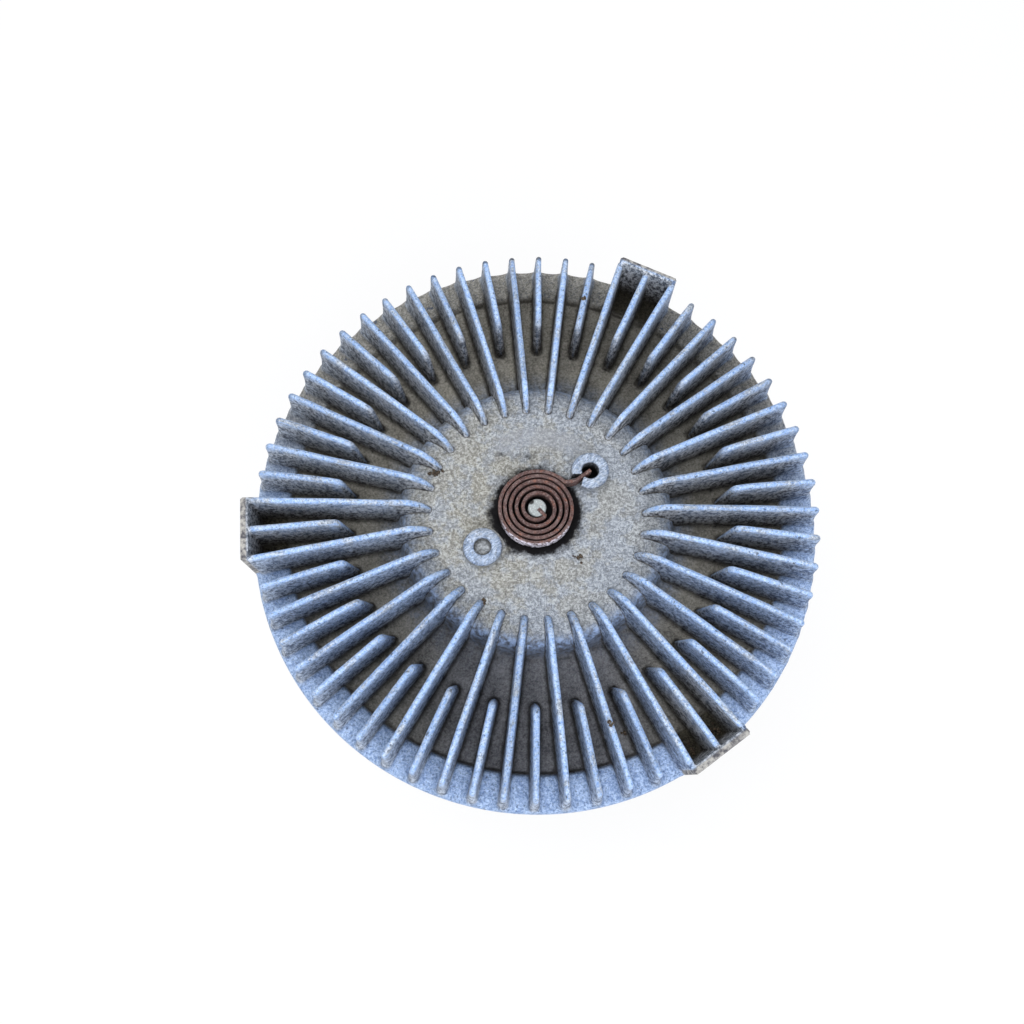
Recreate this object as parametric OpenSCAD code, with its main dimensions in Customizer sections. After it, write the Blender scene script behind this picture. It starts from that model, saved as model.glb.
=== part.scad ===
// Viscous fan clutch.
// A finned front cover is rolled over a rear body, and the two spin on a bearing round a flanged
// input shaft. A rotor on the shaft shears silicone fluid between ring lands, and a bimetal coil
// on the front turns a valve that lets the fluid in.
// The axis is Z. The flange stands on z = 0 and the finned front faces +Z.

/* [Cover] */
// Outside radius of the rim
rim_r = 101.6; // [98:0.1:106]
// Thickness of the annular floor between the fins
floor_t = 5; // [4.6:0.1:7]
// Radius of the wall round the raised centre
plateau_r = 49.3; // [47:0.1:52]
// Height of the raised centre above the annular floor
plateau_h = 10.5; // [9:0.1:13]
// Thickness of the raised centre's top
plateau_t = 5; // [4:0.1:6]
// Round of the raised centre's shoulder
shoulder_round = 5.8; // [3:0.1:7]
// Fillet where the raised centre meets the floor
foot_fillet = 3; // [1:0.1:4]
// Width of the rim band
rim_band_w = 12; // [10:0.1:13]
// Height of the step at the inside of the rim band
rim_step_h = 2.2; // [1:0.1:3]
// Height of the rim band's outer edge above the floor
rim_edge_h = 0.4; // [0:0.1:0.8]
// Thickness of the skirt round the rear body
skirt_t = 4.2; // [3:0.1:5]
// Draft of the skirt over its height
skirt_draft = 1.6; // [0.5:0.1:2.5]
// Thickness of the lip rolled over the rear body
lip_t = 2.4; // [1.6:0.1:3]
// Width of the lip rolled over the rear body
lip_w = 4.6; // [3:0.1:5]
// Radius of the roll at the lip
roll_r = 2.2; // [1:0.1:3]

/* [Fins] */
// Number of fins, long and short ones in turn
fin_count = 60; // [48:12:72]
// Height of the fins above the annular floor
fin_h = 19.8; // [16:0.1:24]
// Thickness of a fin at its crest
fin_crest_t = 2.2; // [1.6:0.1:2.8]
// Thickness of a fin at its root
fin_root_t = 3.6; // [2.8:0.1:4.2]
// Distance from the rim to the top of a fin's outer end
fin_tip_inset = 4; // [2:0.1:6]
// Round at the top of a fin's outer end
fin_tip_round = 3; // [1:0.1:5]
// Radius where a long fin's crest levels out
long_fin_r = 49; // [46:0.1:54]
// Round of a long fin's nose
long_nose_round = 12; // [11:0.1:15]
// Radius of a short fin's foot
short_fin_r = 65.4; // [60:0.1:72]
// Slope of a short fin's nose over its height
short_nose_run = 2.6; // [1:0.1:5]
// Round of a short fin's nose
short_nose_round = 3.6; // [2:0.1:6]

/* [Lugs] */
// Number of boxed lugs
lug_count = 3; // [2:1:4]
// Angle of the first lug
lug_angle = 66; // [66:120:306]
// Width of a lug's wall
lug_w = 21; // [18:0.1:22]
// Thickness of a lug's wall
lug_t = 2.8; // [2:0.1:4]
// Distance from the rim to the outside of a lug's wall
lug_inset = 0.5; // [0.4:0.1:2]
// Height of a lug's wall above the fin crests
lug_over = 0.5; // [0.2:0.1:1]
// Round of a lug's corners
lug_round = 1.2; // [0.5:0.1:2]

/* [Coil bosses] */
// Angle of the boss that holds the coil
boss_angle = 37; // [32:1:42]
// Distance of the bosses from the axis
boss_pos_r = 23.4; // [22.4:0.1:25]
// Outside radius of a boss
boss_r = 6.75; // [5.5:0.05:7.2]
// Height of a boss
boss_h = 5.2; // [5:0.1:7]
// Flare at a boss's foot
boss_flare = 1.2; // [0.5:0.1:2]
// Radius of a boss's hole
boss_hole_r = 3.05; // [2.5:0.05:3.5]
// Depth of the hole that holds the coil
boss_hole_depth = 8.4; // [6:0.1:8.8]
// Depth of the spare boss's hole
spare_hole_depth = 2; // [1:0.1:4]
// Width of the slot for the coil
boss_slot_w = 1.8; // [1.6:0.1:2.4]

/* [Bimetal coil] */
// Thickness of the strip
strip_t = 1.25; // [0.9:0.05:1.35]
// Width of the strip along the axis
strip_w = 4.8; // [4:0.1:5]
// Radius of the coil's outermost turn, at the strip's middle
coil_r = 13.6; // [12.5:0.1:14.2]
// Whole turns of the coil
coil_turns = 4; // [3:1:4]
// Angle where the strip leaves the valve shaft
tang_angle = -45; // [-60:1:-30]
// How much closer the outer turns lie than the inner ones
coil_ease = 0.2; // [0:0.05:0.3]

/* [Valve] */
// Radius of the valve shaft
pin_r = 3.175; // [2.8:0.025:3.175]
// Height of the valve shaft above the raised centre
pin_h = 4.9; // [4.5:0.1:6]
// Radius of the collar under the cover's bush
collar_r = 4.4; // [4:0.1:5.5]
// Thickness of the collar
collar_t = 1.6; // [1:0.1:2]
// Radius of the stub that carries the arm
stub_r = 2.2; // [1.8:0.1:2.5]
// Thickness of the arm
arm_t = 1.2; // [0.8:0.1:1.5]
// Distance of the fluid port from the axis
port_pos_r = 31; // [26:0.1:32]
// Radius of the fluid port
port_r = 3; // [2:0.1:3.5]
// Angle of the fluid port
port_angle = -45; // [-60:1:-30]
// Thickness of the valve plate
plate_t = 1; // [0.8:0.1:1.5]
// Width of the ledge that carries the plate
ledge_w = 2.5; // [2:0.1:3]
// Wall between the reservoir and the outside
reservoir_wall = 5.3; // [4.5:0.1:6]
// Radius of the cover's bush for the valve shaft
bush_r = 9; // [7:0.1:10]
// Length of the bush below the raised centre's top
bush_l = 6; // [4:0.1:6]
// Distance of the plate's rivets from the reservoir's wall
rivet_inset = 2.5; // [2:0.1:3]
// Radius of a rivet's shank
rivet_r = 1.5; // [1.2:0.1:1.8]
// Depth of a rivet in the cover
rivet_depth = 4; // [3:0.1:5]

/* [Rotor] */
// Thickness of the rotor's web
web_t = 5; // [4:0.1:6]
// Radius of the rotor's hub
rotor_hub_r = 15.5; // [14:0.1:16.5]
// Radius of the innermost land
land_start_r = 54; // [52:0.1:58]
// Width of a land
land_w = 1.9; // [1.5:0.1:2.5]
// Height of a land
land_h = 5; // [4:0.1:6]
// Number of flow holes through the web
flow_holes = 6; // [4:1:8]
// Distance of the flow holes from the axis
flow_pos_r = 42; // [36:0.1:46]
// Radius of a flow hole
flow_r = 4; // [3:0.1:5]

/* [Bearing] */
// Radius of the bearing's bore
bearing_bore_r = 12.5; // [12:0.1:13]
// Outside radius of the bearing
bearing_r = 26; // [25.5:0.1:27]
// Width of the bearing
bearing_w = 15; // [14:0.1:17]
// Number of balls
ball_count = 9; // [7:1:10]
// Radius of a ball
ball_r = 3.97; // [3.6:0.01:4.1]
// Thickness of the snap ring
snap_t = 1.6; // [1.2:0.1:2]
// Depth of the snap ring's groove
snap_depth = 1.5; // [1:0.1:2]

/* [Rear body] */
// Bearing shoulder at the rear of the hub
shoulder_t = 3; // [2:0.1:4]
// Wall of the hub round the bearing
hub_wall = 5; // [4:0.1:6]
// Thickness of the hub in front of the snap ring
hub_front = 3.5; // [2.5:0.1:5]
// Thickness of the rear wall
rear_wall_t = 6.5; // [5:0.1:8]
// Height of the rim round the rotor
rear_rim_h = 4.8; // [3:0.1:6]
// Thickness of the rim that the cover is rolled over
rear_flange_t = 8; // [6:0.1:8.5]
// Width of the joint between cover and body
joint_w = 9.3; // [8.5:0.1:11]
// Radius of the joint's seal ring section
seal_r = 1; // [0.8:0.05:1.2]
// Number of rear fin places round the body
rear_fin_count = 36; // [24:4:40]
// Thickness of a rear fin at its crest
rear_crest_t = 2.4; // [1.8:0.1:3]
// Thickness of a rear fin at its root
rear_root_t = 3.6; // [3:0.1:4.2]
// Distance from the fan's seat to the rear fins' crests
rear_fin_inset = 2; // [1:0.1:4]
// Number of ribs between hub and pilot
rib_count = 8; // [6:1:12]
// Thickness of a rib
rib_t = 4; // [3:0.1:5]

/* [Fan mount] */
// Radius of the fan pilot
fan_pilot_r = 48; // [46.5:0.1:48.4]
// Length of the fan pilot beyond the fan's seat
fan_pilot_l = 5; // [4:0.1:7]
// How far the pads stand proud of the pilot ring's step
pilot_step = 1; // [0.4:0.1:1.8]
// Wall of the pilot ring
pilot_wall = 5; // [4:0.1:6]
// Diameter of the fan's bolt circle
fan_pcd = 120; // [118:0.1:126]
// Number of fan bolts
fan_bolts = 4; // [3:1:6]
// Radius of a fan pad
pad_r = 11; // [9:0.1:12]
// Radius of a tapped fan hole
fan_hole_r = 3.4; // [2.5:0.05:4.2]
// Depth of a tapped fan hole
fan_hole_depth = 14; // [10:0.1:15]

/* [Input shaft] */
// Radius of the flange
flange_r = 42; // [40:0.1:45]
// Thickness of the flange
flange_t = 8; // [6:0.1:10]
// Distance between the flange and the rear body
neck_l = 28; // [22:0.1:40]
// Radius of the neck
neck_r = 16.5; // [15:0.1:16.8]
// Fillet between the flange and the neck
neck_root = 5; // [3:0.1:6]
// Radius of the spigot that carries the rotor
spigot_r = 11; // [9:0.1:11.5]
// Diameter of the pump hub's bolt circle
flange_pcd = 66.7; // [62:0.1:70]
// Number of flange bolts
flange_bolts = 4; // [3:1:6]
// Radius of a flange hole
flange_hole_r = 4.35; // [3:0.05:5]
// Radius of the pilot bore
pilot_bore_r = 7.95; // [6:0.05:8.5]
// Depth of the pilot bore
pilot_bore_depth = 14; // [10:0.1:18]

/* [Fluid return] */
// Angle of the return passage and the wiper
return_angle = 126; // [90:6:150]
// Radius of the return passage
return_r = 1.25; // [1:0.05:1.4]
// Radius of the ball that plugs the passage
plug_r = 1.59; // [1.5:0.01:1.8]
// Width of the wiper
wiper_w = 9; // [6:0.1:12]

/* [Clearances] */
// Clearance of seated pieces
seat_gap = 0.02; // [0.01:0.01:0.05]
// Clearance of the valve shaft in its bush
run_gap = 0.05; // [0.02:0.01:0.08]
// Gap between neighbouring lands
land_gap = 0.35; // [0.3:0.05:0.6]
// Gap between land tips and the groove below them
tip_gap = 1; // [0.6:0.1:1.5]
// Gap behind the rotor
rotor_gap = 1.5; // [1:0.1:2.5]
// Gap round the rotor
rotor_rim_gap = 2.5; // [2:0.1:3.5]
// Clearance between pieces that slide past each other
slide_gap = 0.3; // [0.2:0.05:0.5]
// Clearance round a ball
ball_gap = 0.08; // [0.05:0.01:0.12]
// Clearance between the neck and the bearing shoulder
neck_gap = 2; // [1:0.1:4]

/* [Hidden] */
$fn = 96;
// How far a piece of a union reaches into its neighbour
bury = 1.5;
// How far a cut reaches past the face that it opens
past = 1;
// Chamfer of turned edges
chamfer = 0.6;

// Heights of the shaft, the bearing and the rear body, from the flange upwards
z_hub = flange_t + neck_l;
z_bearing = z_hub + shoulder_t;
z_bearing_mid = z_bearing + bearing_w / 2;
z_bearing_top = z_bearing + bearing_w;
z_snap = z_bearing_top + seat_gap;
z_snap_top = z_snap + snap_t;
z_body_face = z_snap_top + seat_gap + hub_front;
z_rear_wall = z_body_face - rear_wall_t;
z_fan_seat = z_hub + fan_pilot_l;
z_pilot_step = z_fan_seat + pilot_step;
z_rear_fin = z_fan_seat + rear_fin_inset;
z_joint = z_body_face + rear_rim_h;
z_flange_rear = z_joint - rear_flange_t;
z_lip = z_flange_rear - lip_t;

// Heights of the rotor, the cover and the valve
z_rotor = z_body_face + rotor_gap;
z_web = z_rotor + web_t;
z_land = z_web + land_h;
z_cover_in = z_land + tip_gap;
z_plate_top = z_cover_in + plate_t;
z_floor = z_cover_in + floor_t;
z_plateau = z_floor + plateau_h;
z_ceiling = z_plateau - plateau_t;
z_bush = z_ceiling - bush_l;
z_fin_top = z_floor + fin_h;
z_rim_edge = z_floor + rim_edge_h;
z_arm = z_plate_top + slide_gap;
z_arm_top = z_arm + arm_t;
z_collar_top = z_bush - slide_gap;
z_pin_top = z_plateau + pin_h;
z_coil = z_plateau + slide_gap;
z_coil_top = z_coil + strip_w;
z_spigot = z_land - tip_gap;
z_return = z_cover_in + floor_t / 2;

// Radii of the cover and the body, from the rim inwards
rim_in_r = rim_r - rim_band_w;
skirt_foot_r = rim_r - skirt_draft;
skirt_in_r = skirt_foot_r - skirt_t;
lip_in_r = skirt_in_r - lip_w;
rear_flange_r = skirt_in_r - seat_gap;
rear_wall_r = lip_in_r - slide_gap;
chamber_r = skirt_in_r - joint_w;
seal_pos_r = (chamber_r + lip_in_r + lip_w) / 2;
rotor_r = chamber_r - rotor_rim_gap;
reservoir_r = plateau_r - reservoir_wall;
recess_r = reservoir_r + ledge_w;
plate_r = recess_r - slide_gap;
valve_bore_r = pin_r + run_gap;
wall_draft = 0.5;
rim_step_run = 1.2;
rim_round = 1;

// Bearing rings, cage and seals
ball_shift = 0.25;
inner_land = 0.58;
outer_land = 0.63;
cage_share = 0.38;
cage_side = 0.8;
seal_recess_h = 1.1;
ball_pitch_r = (bearing_bore_r + bearing_r) / 2 + ball_shift;
race_r = ball_r + ball_gap;
inner_ring_r = ball_pitch_r - inner_land * ball_r;
outer_ring_r = ball_pitch_r + outer_land * ball_r;
cage_r_in = ball_pitch_r - cage_share * ball_r;
cage_r_out = ball_pitch_r + cage_share * ball_r;
cage_half_w = ball_r + cage_side;
seal_recess_w = 1.6;
seal_recess_r = outer_ring_r + seal_recess_h;
bearing_seal_t = 1.2;
bearing_seal_inset = (seal_recess_w - bearing_seal_t) / 2;

// Rear body
hub_bore_r = neck_r + neck_gap;
hub_r = bearing_r + hub_wall;
snap_groove_r = bearing_r + snap_depth;
snap_r = snap_groove_r - slide_gap / 2;
snap_w = 2.4;
snap_in_r = bearing_r - snap_w;
snap_ear_r = 2.2;
snap_ear_hole_r = 0.9;
snap_ear_pos_r = snap_in_r - snap_w / 2;
snap_gap_angle = 9;
snap_ear_angle = 1.6 * snap_gap_angle;
pilot_step_w = 2.5;
pilot_root_r = fan_pilot_r + pilot_step_w;
pilot_in_r = fan_pilot_r - pilot_wall;
rib_inset = 3;
fan_hole_pos_r = fan_pcd / 2;
pad_angle = 45;
pad_half_angle = asin((pad_r + rear_root_t) / fan_hole_pos_r);
rear_fin_gap = 1.5;
rear_fin_out_r = rear_wall_r - rear_fin_gap;

// Fins and lugs
fin_pitch = 720 / fin_count;
fin_over = 0.3;
fin_tip_r = rim_r - fin_tip_inset;
fin_foot_inset = 0.6;
fin_foot_r = rim_r - fin_foot_inset;
lug_out_r = rim_r - lug_inset;
lug_in_r = lug_out_r - lug_t;
lug_reach = 0.75;
lug_fin_r = lug_in_r + lug_t / 2;
z_fin_root = z_floor - bury;
z_nose_root = z_plateau - bury;
nose_root_r = reservoir_r + slide_gap * 2;

// Lands
land_pitch = 2 * (land_w + land_gap);
land_count = floor((rotor_r - land_start_r - land_w) / land_pitch) + 1;
cover_land_start_r = land_start_r + land_w + land_gap;

// Valve, rivets and wiper
groove_w = 1.5;
o_ring_r = 0.58;
groove_floor_r = pin_r - 2 * o_ring_r - seat_gap;
z_groove = (z_bush + z_plateau - groove_w) / 2;
tang_start = 0.6;
tang_gap = 0.1;
stub_hole_r = stub_r + slide_gap * 2;
arm_hub_wall = 1.6;
arm_pad_wall = 2;
arm_hub_r = collar_r + arm_hub_wall;
arm_pad_r = port_r + arm_pad_wall;
pin_notch = 0.8;
rivet_count = 4;
rivet_phase = 20;
rivet_pos_r = reservoir_r - rivet_inset;
rivet_head_w = 1.1;
rivet_head_r = rivet_r + rivet_head_w;
rivet_head_h = 0.8;
rivet_boss_wall = 3;
rivet_boss_r = rivet_r + rivet_boss_wall;
seal_side_gap = 0.2;
seal_groove_w = 2 * seal_r + 2 * seal_side_gap;
plug_inset = 4;
plug_pos_r = rim_r - plug_inset;
plug_seat_r = plug_pos_r - plug_r;
return_entry_r = chamber_r - return_r - slide_gap;
return_entry_gap = 2.4;
return_entry_offset = wiper_w / 2 + return_entry_gap;
wiper_in_r = rotor_r + slide_gap;
wiper_land = 0.8;
wiper_out_r = seal_pos_r - seal_groove_w / 2 - wiper_land;

// Coil path
coil_slack = 0.2;
coil_leave = 8;
coil_turn_steps = 30;
coil_in_r = pin_r + strip_t / 2 + coil_slack;
coil_leave_angle = boss_angle + coil_leave;
coil_sweep = 360 * coil_turns + tang_angle - coil_leave_angle + 360;
coil_steps = coil_turn_steps * coil_turns;
coil_kink = polar(boss_pos_r - boss_r - coil_slack, boss_angle);
coil_end = polar(boss_pos_r, boss_angle);

function polar(r, a) = [r * cos(a), r * sin(a)];

function arc(centre, r, from, to, steps) = [
  for (i = [0:steps])
    centre + polar(r, from + (to - from) * i / steps)
];

function coil_radius(s) =
  coil_in_r + (coil_r - coil_in_r) * s * (1 + coil_ease - coil_ease * s);

coil_path = concat(
  [polar(tang_start, tang_angle)],
  [
    for (i = [0:coil_steps])
      let (s = i / coil_steps)
      polar(coil_radius(s), tang_angle - coil_sweep * s)
  ],
  [coil_kink, coil_end]
);

function heading(path, i) = (path[i + 1] - path[i]) / norm(path[i + 1] - path[i]);

function left_of(v) = [-v.y, v.x];

function strip_side(path, side) = [
  for (i = [0:len(path) - 1])
    let (
      before = left_of(heading(path, max(i - 1, 0))),
      after = left_of(heading(path, min(i, len(path) - 2))),
      mitre = (before + after) / (1 + before * after)
    )
    path[i] + side * strip_t / 2 * mitre
];

function reversed(list) = [for (i = [len(list) - 1:-1:0]) list[i]];

module turned(points) {
  rotate_extrude()
    polygon(points);
}

module around(count, phase = 0) {
  for (i = [0:count - 1])
    rotate([0, 0, phase + 360 * i / count])
      children();
}

module upright(width) {
  rotate([90, 0, 0])
    linear_extrude(height = width, center = true)
      children();
}

module along_radius(length) {
  rotate([90, 0, 90])
    linear_extrude(height = length)
      children();
}

module bar(from, to, width) {
  run = to - from;
  translate(from)
    rotate([0, 0, atan2(run.y, run.x)])
      translate([0, -width / 2])
        square([norm(run), width]);
}

// Cover

module cover_shell() {
  shoulder_centre = [plateau_r - wall_draft - shoulder_round, z_plateau - shoulder_round];
  fillet_centre = [plateau_r + foot_fillet, z_floor + foot_fillet];
  edge_centre = [rim_r - rim_round, z_rim_edge - rim_round];
  roll_centre = [skirt_foot_r - roll_r, z_lip + roll_r];
  turned(concat(
    [[valve_bore_r, z_plateau]],
    arc(shoulder_centre, shoulder_round, 90, 0, 8),
    arc(fillet_centre, foot_fillet, 180, 270, 4),
    [[rim_in_r - rim_step_run, z_floor]],
    [[rim_in_r, z_floor + rim_step_h]],
    arc(edge_centre, rim_round, 85, 0, 3),
    arc(roll_centre, roll_r, 0, -90, 5),
    [[lip_in_r, z_lip]],
    [[lip_in_r, z_flange_rear]],
    [[skirt_in_r, z_flange_rear]],
    [[skirt_in_r, z_joint]],
    [[chamber_r, z_joint]],
    [[chamber_r, z_cover_in]],
    [[recess_r, z_cover_in]],
    [[recess_r, z_plate_top]],
    [[reservoir_r, z_plate_top]],
    [[reservoir_r, z_ceiling]],
    [[bush_r, z_ceiling]],
    [[bush_r, z_bush]],
    [[valve_bore_r, z_bush]]
  ));
}

module cover_lands() {
  for (i = [0:land_count - 2])
    rotate_extrude()
      translate([cover_land_start_r + land_pitch * i, z_web + tip_gap])
        square([land_w, land_h + bury]);
}

module fin_section() {
  polygon([
    [-fin_root_t / 2, z_fin_root],
    [fin_root_t / 2, z_fin_root],
    [fin_crest_t / 2, z_fin_top - fin_crest_t / 2],
    [-fin_crest_t / 2, z_fin_top - fin_crest_t / 2]
  ]);
  translate([0, z_fin_top - fin_crest_t / 2])
    circle(d = fin_crest_t, $fn = 32);
}

module fin_end(start_r, tip_r, foot_r) {
  top = z_fin_top + fin_over;
  lean = atan((foot_r - tip_r) / fin_h);
  centre = [tip_r - fin_tip_round, top - fin_tip_round];
  translate(centre)
    circle(r = fin_tip_round, $fn = 48);
  polygon([
    [start_r, z_fin_root],
    [foot_r, z_fin_root],
    [foot_r, z_rim_edge],
    centre + polar(fin_tip_round, lean),
    [centre.x, top],
    [start_r, top]
  ]);
}

module long_fin_side() {
  top = z_fin_top + fin_over;
  nose_r = long_nose_round + fin_over;
  intersection() {
    translate([long_fin_r, top - nose_r])
      circle(r = nose_r);
    translate([long_fin_r - 2 * nose_r, z_nose_root])
      square([4 * nose_r, 2 * nose_r]);
  }
  polygon([
    [nose_root_r, z_fin_root],
    [long_fin_r + fin_h, z_fin_root],
    [long_fin_r + fin_h, top],
    [long_fin_r, top],
    [nose_root_r, z_nose_root]
  ]);
}

module short_fin_side() {
  top = z_fin_top + fin_over;
  lean = atan(short_nose_run / fin_h);
  centre = [short_fin_r + short_nose_run + short_nose_round, top - short_nose_round];
  translate(centre)
    circle(r = short_nose_round, $fn = 48);
  polygon([
    [short_fin_r - short_nose_run * bury / fin_h, z_fin_root],
    [centre.x + fin_h / 2, z_fin_root],
    [centre.x + fin_h / 2, top],
    [centre.x, top],
    centre + polar(short_nose_round, 180 - lean)
  ]);
}

module fin(long, boxed) {
  tip_r = boxed ? lug_fin_r : fin_tip_r;
  foot_r = boxed ? lug_fin_r : fin_foot_r;
  intersection() {
    upright(2 * fin_root_t) {
      if (long)
        long_fin_side();
      else
        short_fin_side();
      if (boxed)
        translate([short_fin_r + fin_h / 2, z_fin_root])
          square([foot_r - short_fin_r - fin_h / 2, fin_h + bury + fin_over]);
      else
        fin_end(short_fin_r + fin_h / 2, tip_r, foot_r);
    }
    along_radius(rim_r)
      fin_section();
  }
}

function lug_offset(angle) =
  let (sector = 360 / lug_count)
  abs((angle - lug_angle + 720 + sector / 2) % sector - sector / 2);

function is_boxed(angle) = lug_offset(angle) < fin_pitch * lug_reach;

module fins() {
  for (i = [0:fin_count - 1]) {
    angle = lug_angle + fin_pitch * i / 2;
    rotate([0, 0, angle])
      fin(i % 2 == 1, is_boxed(angle));
  }
}

module lug() {
  straight = lug_w - 2 * lug_round;
  translate([0, 0, z_fin_root])
    linear_extrude(height = fin_h + bury + lug_over) {
      translate([lug_in_r, -straight / 2])
        square([lug_t, straight]);
      translate([lug_in_r, -lug_w / 2])
        square([lug_t - lug_round, lug_w]);
      for (side = [-1, 1])
        translate([lug_out_r - lug_round, side * straight / 2])
          circle(r = lug_round, $fn = 32);
    }
}

module coil_boss() {
  translate([boss_pos_r, 0, 0])
    turned([
      [0, z_plateau - bury],
      [boss_r + boss_flare, z_plateau - bury],
      [boss_r + boss_flare, z_plateau],
      [boss_r, z_plateau + boss_flare],
      [boss_r, z_plateau + boss_h - chamfer],
      [boss_r - chamfer, z_plateau + boss_h],
      [0, z_plateau + boss_h]
    ]);
}

module boss_hole(depth) {
  translate([boss_pos_r, 0, z_plateau + boss_h - depth])
    cylinder(r = boss_hole_r, h = depth + past);
}

module coil_slot() {
  translate([boss_pos_r - boss_r - boss_flare - past, -boss_slot_w / 2, z_plateau])
    cube([boss_r + boss_flare + past, boss_slot_w, boss_h + past]);
}

module return_passage() {
  translate([reservoir_r - past, 0, z_return])
    rotate([0, 90, 0])
      cylinder(r = return_r, h = rim_r - reservoir_r + 2 * past);
  translate([plug_seat_r, 0, z_return])
    rotate([0, 90, 0])
      cylinder(r = plug_r + seat_gap, h = rim_r - plug_seat_r + past);
  translate([return_entry_r, 0, z_cover_in - past])
    cylinder(r = return_r, h = z_return - z_cover_in + past);
}

module wiper_pocket() {
  translate([chamber_r - past, -wiper_w / 2 - seat_gap, z_joint - past])
    cube([wiper_out_r + seat_gap - chamber_r + past, wiper_w + 2 * seat_gap, z_cover_in - z_joint + past]);
}

module rivet_holes() {
  around(rivet_count, rivet_phase)
    translate([rivet_pos_r, 0, z_cover_in - past])
      cylinder(r = rivet_r + seat_gap, h = plate_t + rivet_depth + past);
}

module rivet_bosses() {
  around(rivet_count, rivet_phase)
    translate([rivet_pos_r, 0, z_plate_top])
      cylinder(r = rivet_boss_r, h = z_ceiling - z_plate_top + bury);
}

module finned_cover() {
  wiper_turn = return_entry_offset / chamber_r * 180 / PI;
  color("#a9aaa3")
    difference() {
      union() {
        cover_shell();
        cover_lands();
        fins();
        around(lug_count, lug_angle)
          lug();
        around(2, boss_angle)
          coil_boss();
        rivet_bosses();
      }
      rotate([0, 0, boss_angle]) {
        boss_hole(boss_hole_depth);
        coil_slot();
      }
      rotate([0, 0, boss_angle + 180])
        boss_hole(spare_hole_depth);
      rotate([0, 0, return_angle])
        return_passage();
      rotate([0, 0, return_angle + wiper_turn])
        wiper_pocket();
      rivet_holes();
    }
}

module return_plug() {
  color("silver")
    rotate([0, 0, return_angle])
      translate([plug_pos_r, 0, z_return])
        sphere(r = plug_r);
}

module pump_wiper() {
  wiper_turn = return_entry_offset / chamber_r * 180 / PI;
  color("#3a3a38")
    rotate([0, 0, return_angle + wiper_turn])
      difference() {
        translate([wiper_in_r - wiper_w / 2, -wiper_w / 2, z_joint])
          cube([wiper_out_r - wiper_in_r + wiper_w / 2, wiper_w, z_cover_in - z_joint]);
        translate([0, 0, z_joint - past])
          cylinder(r = wiper_in_r, h = z_cover_in - z_joint + 2 * past, $fn = 180);
      }
}

module cover_seal() {
  color("#202020")
    rotate_extrude()
      translate([seal_pos_r, z_joint - seal_r - seat_gap])
        circle(r = seal_r, $fn = 32);
}

// Rear body

module rear_shell() {
  turned([
    [hub_bore_r, z_hub],
    [hub_r, z_hub],
    [hub_r, z_rear_wall],
    [pilot_in_r, z_rear_wall],
    [pilot_in_r, z_hub],
    [fan_pilot_r - chamfer, z_hub],
    [fan_pilot_r, z_hub + chamfer],
    [fan_pilot_r, z_pilot_step],
    [pilot_root_r, z_pilot_step],
    [pilot_root_r, z_rear_wall],
    [rear_wall_r, z_rear_wall],
    [rear_wall_r, z_flange_rear],
    [rear_flange_r, z_flange_rear],
    [rear_flange_r, z_joint],
    [seal_pos_r + seal_groove_w / 2, z_joint],
    [seal_pos_r + seal_groove_w / 2, z_joint - 2 * seal_r - 2 * seat_gap],
    [seal_pos_r - seal_groove_w / 2, z_joint - 2 * seal_r - 2 * seat_gap],
    [seal_pos_r - seal_groove_w / 2, z_joint],
    [chamber_r, z_joint],
    [chamber_r, z_body_face],
    [bearing_r + seat_gap, z_body_face],
    [bearing_r + seat_gap, z_snap_top + seat_gap],
    [snap_groove_r, z_snap_top + seat_gap],
    [snap_groove_r, z_bearing_top],
    [bearing_r + seat_gap, z_bearing_top],
    [bearing_r + seat_gap, z_bearing],
    [hub_bore_r, z_bearing]
  ]);
}

module rear_fin() {
  intersection() {
    translate([pilot_root_r - bury, -rear_root_t, z_rear_fin])
      cube([rear_fin_out_r - pilot_root_r + bury, 2 * rear_root_t, z_rear_wall - z_rear_fin + bury]);
    along_radius(rim_r)
      polygon([
        [-rear_root_t / 2, z_rear_wall + bury],
        [rear_root_t / 2, z_rear_wall + bury],
        [rear_crest_t / 2, z_rear_fin],
        [-rear_crest_t / 2, z_rear_fin]
      ]);
  }
}

function pad_offset(angle) =
  let (sector = 360 / fan_bolts)
  abs((angle - pad_angle + 720 + sector / 2) % sector - sector / 2);

module rear_fins() {
  for (i = [0:rear_fin_count - 1]) {
    angle = 360 * i / rear_fin_count;
    if (pad_offset(angle) > pad_half_angle)
      rotate([0, 0, angle])
        rear_fin();
  }
}

module fan_pads() {
  around(fan_bolts, pad_angle)
    translate([fan_hole_pos_r, 0, z_fan_seat])
      cylinder(r = pad_r, h = z_rear_wall - z_fan_seat + bury);
}

module fan_holes() {
  around(fan_bolts, pad_angle)
    translate([fan_hole_pos_r, 0, z_fan_seat - past])
      cylinder(r = fan_hole_r, h = fan_hole_depth + past);
}

module hub_ribs() {
  around(rib_count, 180 / rib_count)
    translate([hub_r - bury, -rib_t / 2, z_hub + rib_inset])
      cube([pilot_in_r - hub_r + 2 * bury, rib_t, z_rear_wall - z_hub - rib_inset + bury]);
}

module rear_body() {
  color("#b4b5b0")
    difference() {
      union() {
        rear_shell();
        rear_fins();
        fan_pads();
        hub_ribs();
      }
      fan_holes();
    }
}

// Shaft and rotor

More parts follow.
